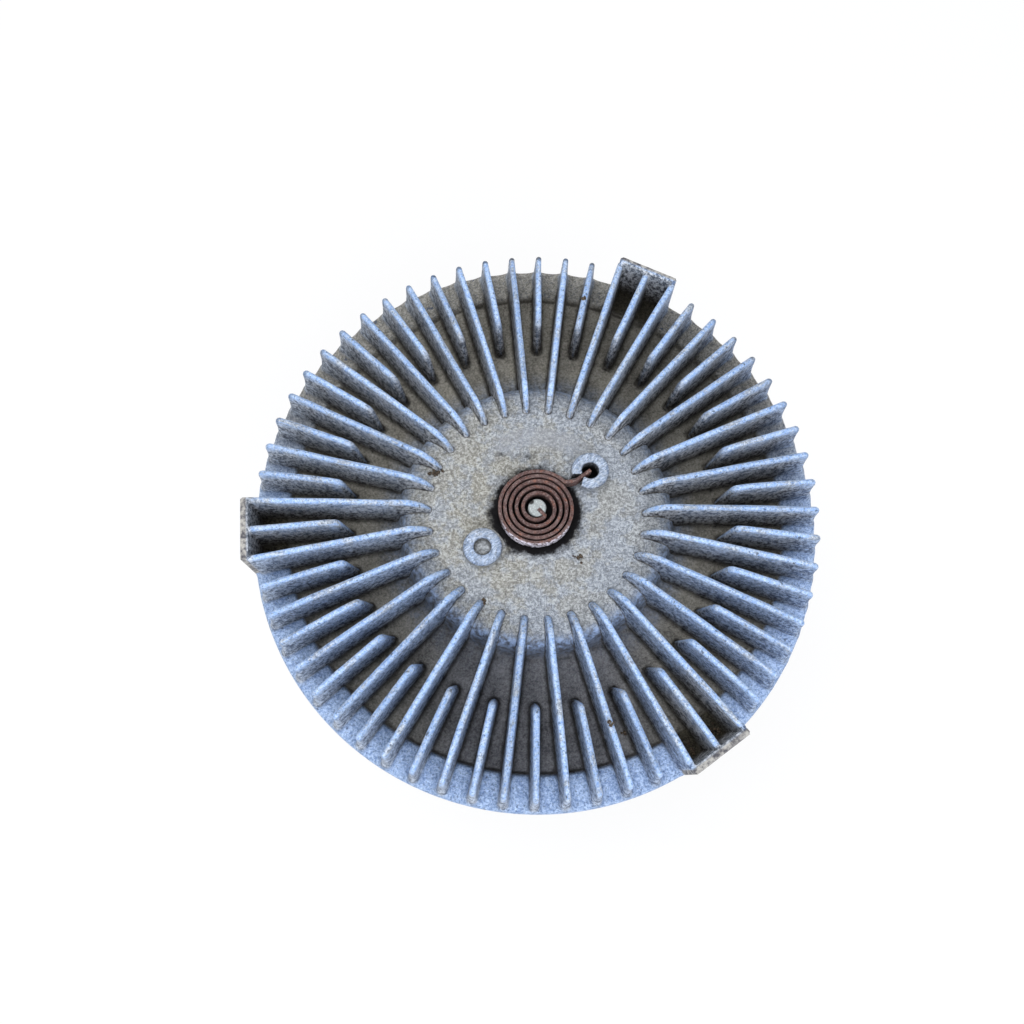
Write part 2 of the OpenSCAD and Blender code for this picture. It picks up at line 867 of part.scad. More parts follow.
module input_shaft() {
  color("#8d8f92")
    difference() {
      turned(concat(
        [[pilot_bore_r, 0]],
        [[flange_r - chamfer, 0]],
        [[flange_r, chamfer]],
        [[flange_r, flange_t - chamfer]],
        [[flange_r - chamfer, flange_t]],
        arc([neck_r + neck_root, flange_t + neck_root], neck_root, 270, 180, 5),
        [[neck_r, z_bearing]],
        [[bearing_bore_r, z_bearing]],
        [[bearing_bore_r, z_bearing_top]],
        [[spigot_r, z_bearing_top]],
        [[spigot_r, z_spigot - chamfer]],
        [[spigot_r - chamfer, z_spigot]],
        [[0, z_spigot]],
        [[0, pilot_bore_depth + pilot_bore_r / 2]],
        [[pilot_bore_r, pilot_bore_depth]]
      ));
      around(flange_bolts, pad_angle)
        translate([flange_pcd / 2, 0, -past])
          cylinder(r = flange_hole_r, h = flange_t + 2 * past);
    }
}

module rotor() {
  color("#c2c4c4")
    difference() {
      union() {
        turned([
          [spigot_r + seat_gap, z_bearing_top + seat_gap],
          [rotor_hub_r, z_bearing_top + seat_gap],
          [rotor_hub_r, z_rotor],
          [rotor_r, z_rotor],
          [rotor_r, z_web],
          [rotor_hub_r + web_t, z_web],
          [rotor_hub_r, z_spigot - chamfer],
          [rotor_hub_r - chamfer, z_spigot],
          [spigot_r + seat_gap, z_spigot]
        ]);
        for (i = [0:land_count - 1])
          rotate_extrude()
            translate([land_start_r + land_pitch * i, z_web - bury])
              square([land_w, land_h + bury]);
      }
      around(flow_holes)
        translate([flow_pos_r, 0, z_rotor - past])
          cylinder(r = flow_r, h = web_t + 2 * past);
    }
}

// Bearing

module bearing_inner_ring() {
  color("#9fa3a6")
    rotate_extrude()
      difference() {
        translate([bearing_bore_r + seat_gap, z_bearing + seat_gap])
          square([inner_ring_r - bearing_bore_r - seat_gap, bearing_w - seat_gap]);
        translate([ball_pitch_r, z_bearing_mid])
          circle(r = race_r);
      }
}

module bearing_outer_ring() {
  color("#9fa3a6")
    rotate_extrude()
      difference() {
        translate([outer_ring_r, z_bearing + seat_gap])
          square([bearing_r - outer_ring_r, bearing_w - seat_gap]);
        translate([ball_pitch_r, z_bearing_mid])
          circle(r = race_r);
        for (z = [z_bearing - past, z_bearing_top - seal_recess_w])
          translate([outer_ring_r - past, z])
            square([seal_recess_r - outer_ring_r + past, seal_recess_w + past]);
      }
}

module bearing_balls() {
  color("#d8dadc")
    around(ball_count)
      translate([ball_pitch_r, 0, z_bearing_mid])
        sphere(r = ball_r, $fn = 48);
}

module bearing_cage() {
  color("#c9a860")
    difference() {
      rotate_extrude()
        translate([cage_r_in, z_bearing_mid - cage_half_w])
          square([cage_r_out - cage_r_in, 2 * cage_half_w]);
      around(ball_count)
        translate([ball_pitch_r, 0, z_bearing_mid])
          sphere(r = ball_r + ball_gap, $fn = 48);
    }
}

module bearing_seal(z) {
  color("#262626")
    rotate_extrude()
      translate([inner_ring_r + 2 * ball_gap, z])
        square([seal_recess_r - seat_gap - inner_ring_r - 2 * ball_gap, bearing_seal_t]);
}

module bearing_front_seal() {
  bearing_seal(z_bearing_top - bearing_seal_inset - bearing_seal_t);
}

module bearing_rear_seal() {
  bearing_seal(z_bearing + bearing_seal_inset);
}

module bearing_retaining_ring() {
  color("#55585c")
    translate([0, 0, z_snap])
      linear_extrude(height = snap_t)
        difference() {
          union() {
            difference() {
              circle(r = snap_r);
              circle(r = snap_in_r);
              bar([0, 0], [bearing_r * 2, 0], 2 * snap_ear_pos_r * sin(snap_gap_angle));
            }
            for (side = [-1, 1])
              translate(polar(snap_ear_pos_r, side * snap_ear_angle))
                circle(r = snap_ear_r, $fn = 32);
          }
          for (side = [-1, 1])
            translate(polar(snap_ear_pos_r, side * snap_ear_angle))
              circle(r = snap_ear_hole_r, $fn = 32);
        }
}

// Valve

module valve_plate() {
  color("#b9bcbd")
    translate([0, 0, z_cover_in])
      linear_extrude(height = plate_t)
        difference() {
          circle(r = plate_r);
          circle(r = stub_hole_r, $fn = 48);
          translate(polar(port_pos_r, port_angle))
            circle(r = port_r, $fn = 48);
          around(rivet_count, rivet_phase)
            translate([rivet_pos_r, 0])
              circle(r = rivet_r + seat_gap, $fn = 48);
        }
}

module valve_plate_rivets() {
  color("silver")
    around(rivet_count, rivet_phase)
      translate([rivet_pos_r, 0, z_cover_in]) {
        cylinder(r = rivet_r, h = plate_t + rivet_depth - slide_gap);
        translate([0, 0, -rivet_head_h])
          cylinder(r = rivet_head_r, h = rivet_head_h);
      }
}

module valve_shaft() {
  slot_w = strip_t + 2 * tang_gap;
  color("#c9cbca")
    difference() {
      turned([
        [0, z_cover_in],
        [stub_r, z_cover_in],
        [stub_r, z_arm_top],
        [collar_r, z_arm_top],
        [collar_r, z_arm_top + collar_t],
        [pin_r, z_arm_top + collar_t],
        [pin_r, z_groove],
        [groove_floor_r, z_groove],
        [groove_floor_r, z_groove + groove_w],
        [pin_r, z_groove + groove_w],
        [pin_r, z_pin_top - chamfer / 2],
        [pin_r - chamfer / 2, z_pin_top],
        [0, z_pin_top]
      ]);
      rotate([0, 0, tang_angle])
        translate([tang_start - tang_gap, -slot_w / 2, z_coil - tang_gap])
          cube([pin_r, slot_w, strip_w + past]);
      rotate([0, 0, tang_angle + 180])
        translate([pin_r - pin_notch, -slot_w / 2, z_pin_top - pin_notch])
          cube([pin_r, slot_w, pin_h]);
    }
}

module valve_arm() {
  color("#b0b3b4")
    translate([0, 0, z_arm])
      linear_extrude(height = arm_t)
        rotate([0, 0, port_angle])
          difference() {
            union() {
              circle(r = arm_hub_r, $fn = 48);
              translate([port_pos_r, 0])
                circle(r = arm_pad_r, $fn = 48);
              polygon([
                [0, -arm_hub_r],
                [port_pos_r, -arm_pad_r],
                [port_pos_r, arm_pad_r],
                [0, arm_hub_r]
              ]);
            }
            circle(r = stub_r + seat_gap, $fn = 48);
          }
}

module valve_shaft_seal() {
  color("#202020")
    rotate_extrude()
      translate([pin_r - o_ring_r, z_groove + groove_w / 2])
        circle(r = o_ring_r, $fn = 32);
}

module bimetal_coil() {
  color("#6b4a42")
    translate([0, 0, z_coil])
      linear_extrude(height = strip_w)
        polygon(concat(strip_side(coil_path, 1), reversed(strip_side(coil_path, -1))));
}

finned_cover();
rear_body();
input_shaft();
rotor();
bearing_inner_ring();
bearing_outer_ring();
bearing_balls();
bearing_cage();
bearing_front_seal();
bearing_rear_seal();
bearing_retaining_ring();
valve_plate();
valve_plate_rivets();
valve_shaft();
valve_arm();
valve_shaft_seal();
bimetal_coil();
cover_seal();
pump_wiper();
return_plug();
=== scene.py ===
"""Viscous fan clutch, dressed for the camera.

A cast aluminium cover with sixty fins is rolled over a rear body, and both spin on a flanged shaft.
A rusted bimetal coil on the front turns the valve pin. All sizes are in metres, in the part's own frame:
the axis is Z, the flange stands on z = 0 and the fins face +Z.
"""

import logging
import math
from dataclasses import dataclass
from enum import Enum
from functools import partial
from typing import Callable, Optional, Sequence, Union

import bmesh
import bpy
import numpy as np
from mathutils import Matrix, Vector, noise
from mathutils.geometry import delaunay_2d_cdt


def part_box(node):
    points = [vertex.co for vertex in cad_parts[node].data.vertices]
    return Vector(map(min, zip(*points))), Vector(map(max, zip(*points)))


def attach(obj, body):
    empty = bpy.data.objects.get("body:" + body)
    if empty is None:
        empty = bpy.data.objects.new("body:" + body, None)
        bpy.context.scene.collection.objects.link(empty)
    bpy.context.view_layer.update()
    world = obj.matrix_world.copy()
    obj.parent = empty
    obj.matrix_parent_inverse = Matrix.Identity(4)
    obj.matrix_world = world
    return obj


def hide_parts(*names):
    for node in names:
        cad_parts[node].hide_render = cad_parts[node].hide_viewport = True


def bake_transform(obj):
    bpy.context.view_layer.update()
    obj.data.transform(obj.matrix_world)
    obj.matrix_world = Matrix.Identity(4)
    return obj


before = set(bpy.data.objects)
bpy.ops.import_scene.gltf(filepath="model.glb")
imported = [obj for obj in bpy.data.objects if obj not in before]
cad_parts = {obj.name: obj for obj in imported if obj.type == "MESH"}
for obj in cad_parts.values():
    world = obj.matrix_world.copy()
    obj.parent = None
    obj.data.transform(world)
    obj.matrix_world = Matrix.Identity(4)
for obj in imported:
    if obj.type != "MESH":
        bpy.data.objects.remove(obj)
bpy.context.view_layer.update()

MM = 0.001
FULL_TURN = 2 * math.pi
WELD = 0.002 * MM
HALVINGS = 22
ROUND_STEPS = 4

log = logging.getLogger("fan_clutch")

Socket = bpy.types.NodeSocket
Inputs = bpy.types.NodeInputs
Outputs = bpy.types.NodeOutputs
Node = bpy.types.Node
Object = bpy.types.Object
Array = np.ndarray
Numbers = Sequence[float]
Feed = Union[float, Numbers, Socket]
Feeds = dict[Union[int, str], Feed]
Colour = tuple[float, float, float, float]
Tones = tuple[str, str]
Span = tuple[float, float]
Patch = tuple[Array, list[list[int]]]


def tint(code: str) -> Colour:
    """Turns a screen colour into the linear one that shaders take.

    Args:
        code: six hexadecimal digits, red first.

    Returns:
        Linear red, green, blue and an alpha of one.
    """
    parts = [int(code[place:place + 2], 16) / 255 for place in (0, 2, 4)]
    linear = [part / 12.92 if part <= 0.04045 else ((part + 0.055) / 1.055) ** 2.4 for part in parts]
    return (linear[0], linear[1], linear[2], 1.0)


def ease(value: Array, low: float, high: float) -> Array:
    """Rises smoothly from 0 at low to 1 at high."""
    share = np.clip((value - low) / (high - low), 0.0, 1.0)
    return share * share * (3 - 2 * share)


def lumps(points: Array, size: float, seed: float = 0.0) -> Array:
    """Gives smooth noise from about -1 to 1 at many points, in a pattern that the seed shifts."""
    scaled = points / size + seed
    return np.array([noise.noise(Vector(row)) for row in scaled])


def highest(inside: Callable[[Array], Array], low: Array, high: Array) -> Array:
    """Finds by halving how high each place stays inside a form.

    Args:
        inside: tells which places are inside at given heights.
        low: heights that are inside, or the ground.
        high: heights that are outside.

    Returns:
        The greatest height inside, for each place.
    """
    for _ in range(HALVINGS):
        level = (low + high) / 2
        held = inside(level)
        low = np.where(held, level, low)
        high = np.where(held, high, level)
    return low


def node_of(tree: bpy.types.NodeTree, kind: str) -> Node:
    """Returns a tree's first node of the given type."""
    return next(one for one in tree.nodes if one.type == kind)


class Wiring:
    """Adds nodes to one shader tree and links them."""

    def __init__(self, tree: bpy.types.NodeTree) -> None:
        """Keeps the tree that is being wired."""
        self.tree = tree

    def node(self, kind: str, feeds: Optional[Feeds] = None, **settings: object) -> Node:
        """Adds one shader node and feeds its inputs.

        Args:
            kind: type name without its common prefix.
            feeds: values or sockets by the number or name of the input.
            settings: properties to set on the node.

        Returns:
            The new node.
        """
        made = self.tree.nodes.new("ShaderNode" + kind)
        for name, value in settings.items():
            setattr(made, name, value)
        for place, value in (feeds or {}).items():
            self.feed(made.inputs[place], value)
        return made

    def feed(self, socket: Socket, value: Feed) -> None:
        """Links or sets an input.

        Args:
            socket: the input.
            value: the socket to link it to, or a plain value.
        """
        if isinstance(value, Socket):
            self.tree.links.new(value, socket)
        else:
            socket.default_value = value

    def math(self, operation: str, first: Feed, second: Feed = 0.0) -> Socket:
        """Combines two numbers by the named operation."""
        return self.node("Math", {0: first, 1: second}, operation=operation).outputs[0]

    def times(self, first: Feed, second: Feed) -> Socket:
        """Multiplies two numbers."""
        return self.math("MULTIPLY", first, second)

    def join(self, first: Feed, share: float, second: Feed, other: float) -> Socket:
        """Adds two numbers, each times its share."""
        return self.math("ADD", self.times(first, share), self.times(second, other))

    def vector(self, operation: str, first: Feed, second: Feed) -> Node:
        """Combines two vectors by the named operation and returns the node."""
        return self.node("VectorMath", {0: first, 1: second}, operation=operation)

    def triple(self, *parts: Feed) -> Socket:
        """Joins three numbers into a vector."""
        return self.node("CombineXYZ", dict(enumerate(parts))).outputs[0]

    def object_place(self) -> Socket:
        """Returns the socket of the place on the object."""
        return self.node("TexCoord").outputs["Object"]

    def mix(self, share: Feed, low: Feed, high: Feed) -> Socket:
        """Mixes two colours."""
        return self.node("Mix", {0: share, 6: low, 7: high}, data_type="RGBA").outputs[2]

    def tones(self, share: Feed, pair: Tones) -> Socket:
        """Mixes the dark and the light tone of a pair."""
        return self.mix(share, tint(pair[0]), tint(pair[1]))

    def stain(self, base: Feed, mask: Feed, strength: float, code: str) -> Socket:
        """Lays a colour over another by a mask."""
        return self.mix(self.times(mask, strength), base, tint(code))

    def marks(self, base: Feed, grain: Outputs, **marks: tuple[float, str]) -> Socket:
        """Lays marks of the grain over a colour.

        Args:
            base: the colour.
            grain: the outputs of the grain.
            marks: strength and colour by the name of the grain's output.

        Returns:
            The socket of the colour.
        """
        for name, (strength, code) in marks.items():
            base = self.stain(base, grain[name], strength, code)
        return base

    def band(self, value: Feed, low: float, high: float, start: float = 0.0, end: float = 1.0) -> Socket:
        """Maps a stretch of a number smoothly onto another one."""
        feeds = dict(enumerate((value, low, high, start, end)))
        return self.node("MapRange", feeds, interpolation_type="SMOOTHSTEP").outputs[0]

    def noise(self, place: Feed, scale: Feed, detail: float = 3.0, rough: float = 0.6) -> Socket:
        """Adds a noise texture and returns its value's socket."""
        feeds = {"Vector": place, "Scale": scale, "Detail": detail, "Roughness": rough}
        return self.node("TexNoise", feeds).outputs["Fac"]

    def mask(self, name: str) -> Socket:
        """Reads a mask that is stored on the mesh and returns its socket."""
        return self.node("Attribute", attribute_name=name).outputs["Fac"]


class Effect(Enum):
    """Surface effects that several finishes share."""

    PLACE = "Polar place"
    GRAIN = "Cast grain"
    STREAKS = "Drawn streaks"
    GRIME_AND_SHADE = "Settled grime"
    # Dirt together with painted shade in corners and hollows.
    RINGS = "Turning marks"
    RUST = "Rust bloom"
    WEAR = "Worn edges"


class EffectShelf:
    """Holds the node groups of the shared effects, each built once."""

    def __init__(self) -> None:
        """Builds every group."""
        self.groups: dict[Effect, bpy.types.NodeTree] = {}
        makers: dict[Effect, Callable[[Wiring], None]] = {
            Effect.PLACE: self._place,
            Effect.GRAIN: self._grain,
            Effect.STREAKS: self._streaks,
            Effect.GRIME_AND_SHADE: self._grime_and_shade,
            Effect.RINGS: self._rings,
            Effect.RUST: self._rust,
            Effect.WEAR: self._wear,
        }
        for effect, maker in makers.items():
            self.groups[effect] = bpy.data.node_groups.new(effect.value, "ShaderNodeTree")
            maker(Wiring(self.groups[effect]))

    def use(self, wires: Wiring, effect: Effect, **inputs: Feed) -> Outputs:
        """Places an effect in a material and returns its outputs, by name."""
        return wires.node("Group", inputs, node_tree=self.groups[effect]).outputs

    @staticmethod
    def _sockets(wires: Wiring, takes: dict[str, float], *gives: str) -> tuple[Outputs, Inputs]:
        """Gives a group its named inputs and outputs.

        Args:
            wires: the group's wiring.
            takes: names of number inputs with their usual values.
            gives: names of outputs, which are numbers apart from Colour.

        Returns:
            The sockets that bring the inputs in, and those that take the outputs, by name.
        """
        sockets = wires.tree.interface
        for name, usual in takes.items():
            made = sockets.new_socket(name=name, in_out="INPUT", socket_type="NodeSocketFloat")
            made.default_value = usual
        for name in gives:
            kind = "NodeSocketColor" if name == "Colour" else "NodeSocketFloat"
            sockets.new_socket(name=name, in_out="OUTPUT", socket_type=kind)
        nodes = wires.tree.nodes
        return nodes.new("NodeGroupInput").outputs, nodes.new("NodeGroupOutput").inputs

    def _place(self, wires: Wiring) -> None:
        """Puts out the distance from the axis, the angle round it and the three distances, on the object.

        Args:
            wires: the group's wiring.
        """
        names = ("Radius", "Angle", "Across", "Away", "Height")
        _, out = self._sockets(wires, {}, *names)
        apart = wires.node("SeparateXYZ")
        wires.feed(apart.inputs[0], wires.object_place())
        across, away, height = apart.outputs
        squares = [wires.times(part, part) for part in (across, away)]
        radius = wires.math("SQRT", wires.math("ADD", *squares))
        angle = wires.math("ARCTAN2", away, across)
        for name, part in zip(names, (radius, angle, across, away, height)):
            wires.feed(out[name], part)

    def _grain(self, wires: Wiring) -> None:
        """Puts out the grit, speckle, pits, mottle, specks, blotches and relief of a casting.

        Args:
            wires: the group's wiring.
        """
        names = ("Grit", "Speckle", "Pits", "Mottle", "Specks", "Blotch", "Relief")
        into, out = self._sockets(wires, {"Grain": 0.6}, *names)
        place = wires.object_place()
        aside = wires.vector("ADD", place, (0.31, 0.17, 0.23)).outputs[0]
        scales = (1000.0, 450.0, 85.0)
        fine, coarse, patch = (wires.math("DIVIDE", scale, into["Grain"]) for scale in scales)
        grains = wires.noise(place, fine, 2.0, 0.95)
        clumps = wires.noise(place, coarse, 3.0, 0.65)
        bands = {
            "Grit": (grains, 0.34, 0.66),
            "Speckle": (grains, 0.5, 0.68),
            "Pits": (wires.noise(aside, fine, 2.0, 0.7), 0.48, 0.33),
            "Mottle": (clumps, 0.34, 0.66),
            "Specks": (wires.noise(aside, coarse, 1.0, 0.5), 0.7, 0.76),
            "Blotch": (wires.noise(aside, patch, 5.0, 0.7), 0.32, 0.68),
        }
        for name, band in bands.items():
            wires.feed(out[name], wires.band(*band))
        wires.feed(out["Relief"], wires.join(grains, 0.55, clumps, 0.45))

    def _streaks(self, wires: Wiring) -> None:
        """Puts out the streaks and the grit that the die leaves along a fin's flank.

        Args:
            wires: the group's wiring.
        """
        _, out = self._sockets(wires, {}, "Streak", "Grit")
        polar = self.use(wires, Effect.PLACE)
        along = wires.times(polar["Radius"], 90.0)
        around = wires.times(polar["Angle"], 60.0)
        up = wires.times(polar["Height"], 900.0)
        drawn = wires.triple(along, around, up)
        short = wires.vector("MULTIPLY", drawn, (7.0, 1.0, 0.55)).outputs[0]
        wires.feed(out["Streak"], wires.band(wires.noise(drawn, 1.0, 4.0, 0.65), 0.34, 0.66))
        wires.feed(out["Grit"], wires.band(wires.noise(short, 1.0, 2.0, 0.9), 0.36, 0.64))

    def _grime_and_shade(self, wires: Wiring) -> None:
        """Puts out where dirt has settled and where painted shade lies, from a mask of the hollows and a
        ragged edge.

        Args:
            wires: the group's wiring.
        """
        takes = {"Hollow": 0.0, "Reach": 1.0, "Clump": 4.0, "Ragged": 0.9}
        into, out = self._sockets(wires, takes, "Mask")
        place = wires.object_place()
        ragged = wires.noise(place, wires.math("DIVIDE", 1000.0, into["Clump"]), 5.0, 0.7)
        held = wires.times(into["Hollow"], into["Reach"])
        edge = wires.times(wires.math("SUBTRACT", ragged, 0.5), into["Ragged"])
        wires.feed(out["Mask"], wires.band(wires.math("ADD", held, edge), 0.25, 0.85))

    def _rings(self, wires: Wiring) -> None:
        """Puts out the fine rings that a lathe tool leaves round the axis.

        Args:
            wires: the group's wiring.
        """
        into, out = self._sockets(wires, {"Pitch": 0.3}, "Ring")
        polar = self.use(wires, Effect.PLACE)
        scale = wires.math("DIVIDE", 1000.0, into["Pitch"])
        out_from = wires.times(polar["Radius"], scale)
        up = wires.times(polar["Height"], scale)
        around = wires.times(polar["Angle"], 0.6)
        wires.feed(out["Ring"], wires.noise(wires.triple(out_from, up, around), 1.0, 2.0, 0.6))

    def _rust(self, wires: Wiring) -> None:
        """Puts out the colour, the cover and the relief of rust.

        Args:
            wires: the group's wiring.
        """
        into, out = self._sockets(wires, {"Spread": 0.5, "Patch": 3.0}, "Colour", "Mask", "Relief")
        place = wires.object_place()
        patches = wires.noise(place, wires.math("DIVIDE", 1000.0, into["Patch"]), 6.0, 0.72)
        pits = wires.noise(place, 2600.0, 3.0, 0.6)
        deep = wires.tones(wires.band(pits, 0.35, 0.7), ("3a2625", "784e45"))
        orange = wires.mix(wires.band(patches, 0.5, 0.72), deep, tint("c06e40"))
        wires.feed(out["Colour"], orange)
        cover = wires.math("ADD", patches, wires.math("SUBTRACT", into["Spread"], 0.5))
        wires.feed(out["Mask"], wires.band(cover, 0.42, 0.62))
        wires.feed(out["Relief"], wires.math("ADD", pits, patches))

    def _wear(self, wires: Wiring) -> None:
        """Puts out the outer edges that handling has rubbed bright.

        Args:
            wires: the group's wiring.
        """
        into, out = self._sockets(wires, {"Reach": 0.5}, "Mask")
        edge = wires.node("NewGeometry").outputs["Pointiness"]
        ragged = wires.noise(wires.object_place(), 500.0, 4.0, 0.7)
        joined = wires.math("ADD", edge, wires.times(wires.math("SUBTRACT", ragged, 0.5), 0.05))
        shifted = wires.math("ADD", joined, wires.times(into["Reach"], 0.05))
        wires.feed(out["Mask"], wires.band(shifted, 0.53, 0.6))


@dataclass(frozen=True)
class Coat:
    """A material that is being wired, with its shader and the shared effects."""

    wires: Wiring
    shader: Node
    shelf: EffectShelf

    def use(self, effect: Effect, **inputs: Feed) -> Outputs:
        """Places a shared effect and returns its outputs, by name."""
        return self.shelf.use(self.wires, effect, **inputs)

    def give(self, name: str, value: Feed) -> None:
        """Links or sets the shader's input of that name."""
        self.wires.feed(self.shader.inputs[name], value)

    def relief(self, height: Feed, depth: float, strength: float) -> None:
        """Feeds a height from 0 to 1 through a bump node to the shader's normal."""
        bump = self.wires.node("Bump", {"Strength": strength, "Distance": depth, "Height": height})
        self.give("Normal", bump.outputs["Normal"])


class Finish:
    """A finish that builds its material once and puts it on objects."""

    name: str

    def wire(self, coat: Coat) -> None:
        """Links colour, roughness and relief to the shader."""
        raise NotImplementedError

    def material(self, shelf: EffectShelf) -> bpy.types.Material:
        """Finds this finish's material, or builds it at the first call.

        Args:
            shelf: the shared effects.

        Returns:
            The material.
        """
        full_name = self.name + "_finish"
        found = bpy.data.materials.get(full_name)
        if found is not None:
            return found
        made = bpy.data.materials.new(full_name)
        made.use_nodes = True
        self.wire(Coat(Wiring(made.node_tree), node_of(made.node_tree, "BSDF_PRINCIPLED"), shelf))
        return made

    def dress(self, shelf: EffectShelf, *objects: Object) -> None:
        """Makes this finish the only material of each object.

        Args:
            shelf: the shared effects.
            objects: the objects to dress.
        """
        made = self.material(shelf)
        for one in objects:
            one.data.materials.clear()
            one.data.materials.append(made)
            for face in one.data.polygons:
                face.material_index = 0


@dataclass(frozen=True)
class CastSurface:
    """What the colours of the cover depend on."""

    wires: Wiring
    polar: Outputs
    grain: Outputs
    drawn: Outputs
    south: Socket


@dataclass(frozen=True)
class CoverCasting(Finish):
    """Weathered cast aluminium: pale crests, dark flanks, speckled centre and dirt in the corners, with
    painted sky reflection on crests, fin ends and rim, and painted shade low on the flanks, in corners and
    pockets.
    """

    name: str = "cover_casting"
    warm: Tones = ("75726a", "b6b4a9")
    cool: Tones = ("767b82", "b4bac1")
    fleck: str = "dbe0e3"
    pit: str = "54534d"
    smooth: str = "989ca3"
    # Painted shade and painted sky reflection on the southern shoulder.
    shoulder: Tones = ("4a505c", "a3bce2")
    # Pale blue painted sky reflection on the crests.
    crest: Tones = ("8db1e6", "cadef6")
    worn: Tones = ("868c94", "cdd2d6")
    crest_fleck: str = "e4edf7"
    crest_dark: str = "454d5a"
    # Painted shade: dark tones low on the flanks.
    low: Tones = ("353230", "85827b")
    flank: Tones = ("4a4c51", "cbced3")
    # Painted light: pale tones high on the flanks.
    high: Tones = ("68717d", "dfe5ec")
    # Painted sky reflection on the southern flanks.
    sky_reflection: Tones = ("5d6c87", "bcd2f1")
    # Painted sky reflection on the outer ends of the fins, west then east.
    end_reflection_west: Tones = ("6c7788", "d6e0ee")
    end_reflection_east: Tones = ("5b6f92", "c0d6f5")
    floor: Tones = ("67645c", "b0aca1")
    # Painted shade on the floor between the southern fins.
    floor_south_shade: Tones = ("46484f", "86888f")
    rim: Tones = ("66645d", "b4b1a9")
    # Painted sky reflection on the southern rim band.
    rim_sky_reflection: Tones = ("6d86b0", "c3d8f4")
    rim_shade: str = "4a5467"
    # Painted shade in the pockets boxed in by the lugs.
    shaded_pocket: Tones = ("2a2721", "6e6a5c")
    skirt: Tones = ("757a80", "b2b7bd")
    lug: Tones = ("56555a", "bbb8b1")
    # Dirt colour, also laid as painted shade in corners and hollows.
    dirt: str = "241f19"
    # Near-black of soot, also laid as painted shade and shadow.
    soot: str = "0a080a"
    gloss: float = 0.15
    grain: float = 0.85
    south_span: Span = (20 * MM, -60 * MM)
    east_span: Span = (-30 * MM, 35 * MM)
    west_span: Span = (0.0, -60 * MM)
    end_span: Span = (-20 * MM, 70 * MM)
    dark_floor_span: Span = (20 * MM, 55 * MM)
    thin_dirt_and_shade_span: Span = (20 * MM, 60 * MM)
    rim_reflection_span: Span = (55 * MM, -5 * MM)
    outward_span: Span = (24 * MM, 44 * MM)
    shoulder_span: Span = (42.5 * MM, 47.5 * MM)
    wall_span: Span = (46 * MM, 60 * MM)
    wall_south_span: Span = (46 * MM, 51 * MM)
    rim_span: Span = (88.6 * MM, 89.6 * MM)
    outer_span: Span = (85 * MM, 99 * MM)

    def centre_colour(self, on: CastSurface) -> Socket:
        """Mixes the colour of the raised centre and its shoulder, with painted shade and painted sky
        reflection on the southern shoulder.

        Args:
            on: what the colour depends on.

        Returns:
            The socket of the colour.
        """
        wires, grain, polar = on.wires, on.grain, on.polar
        # Partly painted sky reflection: the centre turns cool blue-grey towards the east and the outer edge;
        # the patchy share is random tone.
        east_reflection = wires.band(polar["Across"], *self.east_span, 0.0, 0.45)
        outward = wires.band(polar["Radius"], *self.outward_span, 0.0, 0.3)
        patchy = wires.band(grain["Blotch"], 0.2, 0.8, 0.65, 0.0)
        cool = wires.math("ADD", wires.math("ADD", east_reflection, outward), patchy)
        stone = wires.mix(cool, wires.tones(grain["Grit"], self.warm), wires.tones(grain["Grit"], self.cool))
        stone = wires.stain(stone, wires.mask("smooth"), 0.6, self.smooth)
        stone = wires.marks(
            stone, grain, Pits=(0.3, self.pit), Speckle=(0.3, self.fleck), Specks=(0.5, self.pit)
        )
        # Painted shade and sky reflection on the southern shoulder.
        edge = wires.band(polar["Radius"], *self.shoulder_span)
        shaded = wires.times(edge, wires.band(on.south, 0.0, 1.0, 0.45, 0.95))
        return wires.mix(shaded, stone, wires.tones(grain["Mottle"], self.shoulder))

    def floor_colour(self, on: CastSurface) -> Socket:
        """Mixes the colour of the floor between the fins, darker with painted shade towards the south.

        Args:
            on: what the colour depends on.

        Returns:
            The socket of the colour.
        """
        wires, grain = on.wires, on.grain
        toned = wires.join(grain["Grit"], 0.5, grain["Blotch"], 0.5)
        # Painted shade: the floor darkens towards the south, most in the middle.
        middle = wires.band(wires.math("ABSOLUTE", on.polar["Across"]), *self.dark_floor_span, 0.85, 0.1)
        dark = wires.times(on.south, middle)
        floor = wires.mix(dark, wires.tones(toned, self.floor), wires.tones(toned, self.floor_south_shade))
        return wires.stain(floor, grain["Pits"], 0.35, self.dirt)

    def rim_colour(self, on: CastSurface) -> Socket:
        """Mixes the colour of the rim band, with a painted sky reflection on its southern side, the lugs'
        pockets in painted shade and the skirt.

        Args:
            on: what the colour depends on.

        Returns:
            The socket of the colour.
        """
        wires, grain = on.wires, on.grain
        mottled = wires.join(grain["Grit"], 0.7, grain["Mottle"], 0.3)
        # Painted sky reflection on the rim band's southern side.
        sky_facing = wires.band(on.polar["Away"], *self.rim_reflection_span)
        rim = wires.mix(sky_facing, wires.tones(mottled, self.rim), wires.tones(mottled, self.rim_sky_reflection))
        rim = wires.marks(rim, grain, Pits=(0.5, self.rim_shade), Specks=(0.8, self.rim_shade))
        # Painted shade: the pockets boxed in by the lugs are darker.
        rim = wires.mix(wires.mask("sheltered"), rim, wires.tones(mottled, self.shaded_pocket))
        return wires.mix(wires.band(wires.mask("skirt"), 0.0, 0.4), rim, wires.tones(mottled, self.skirt))

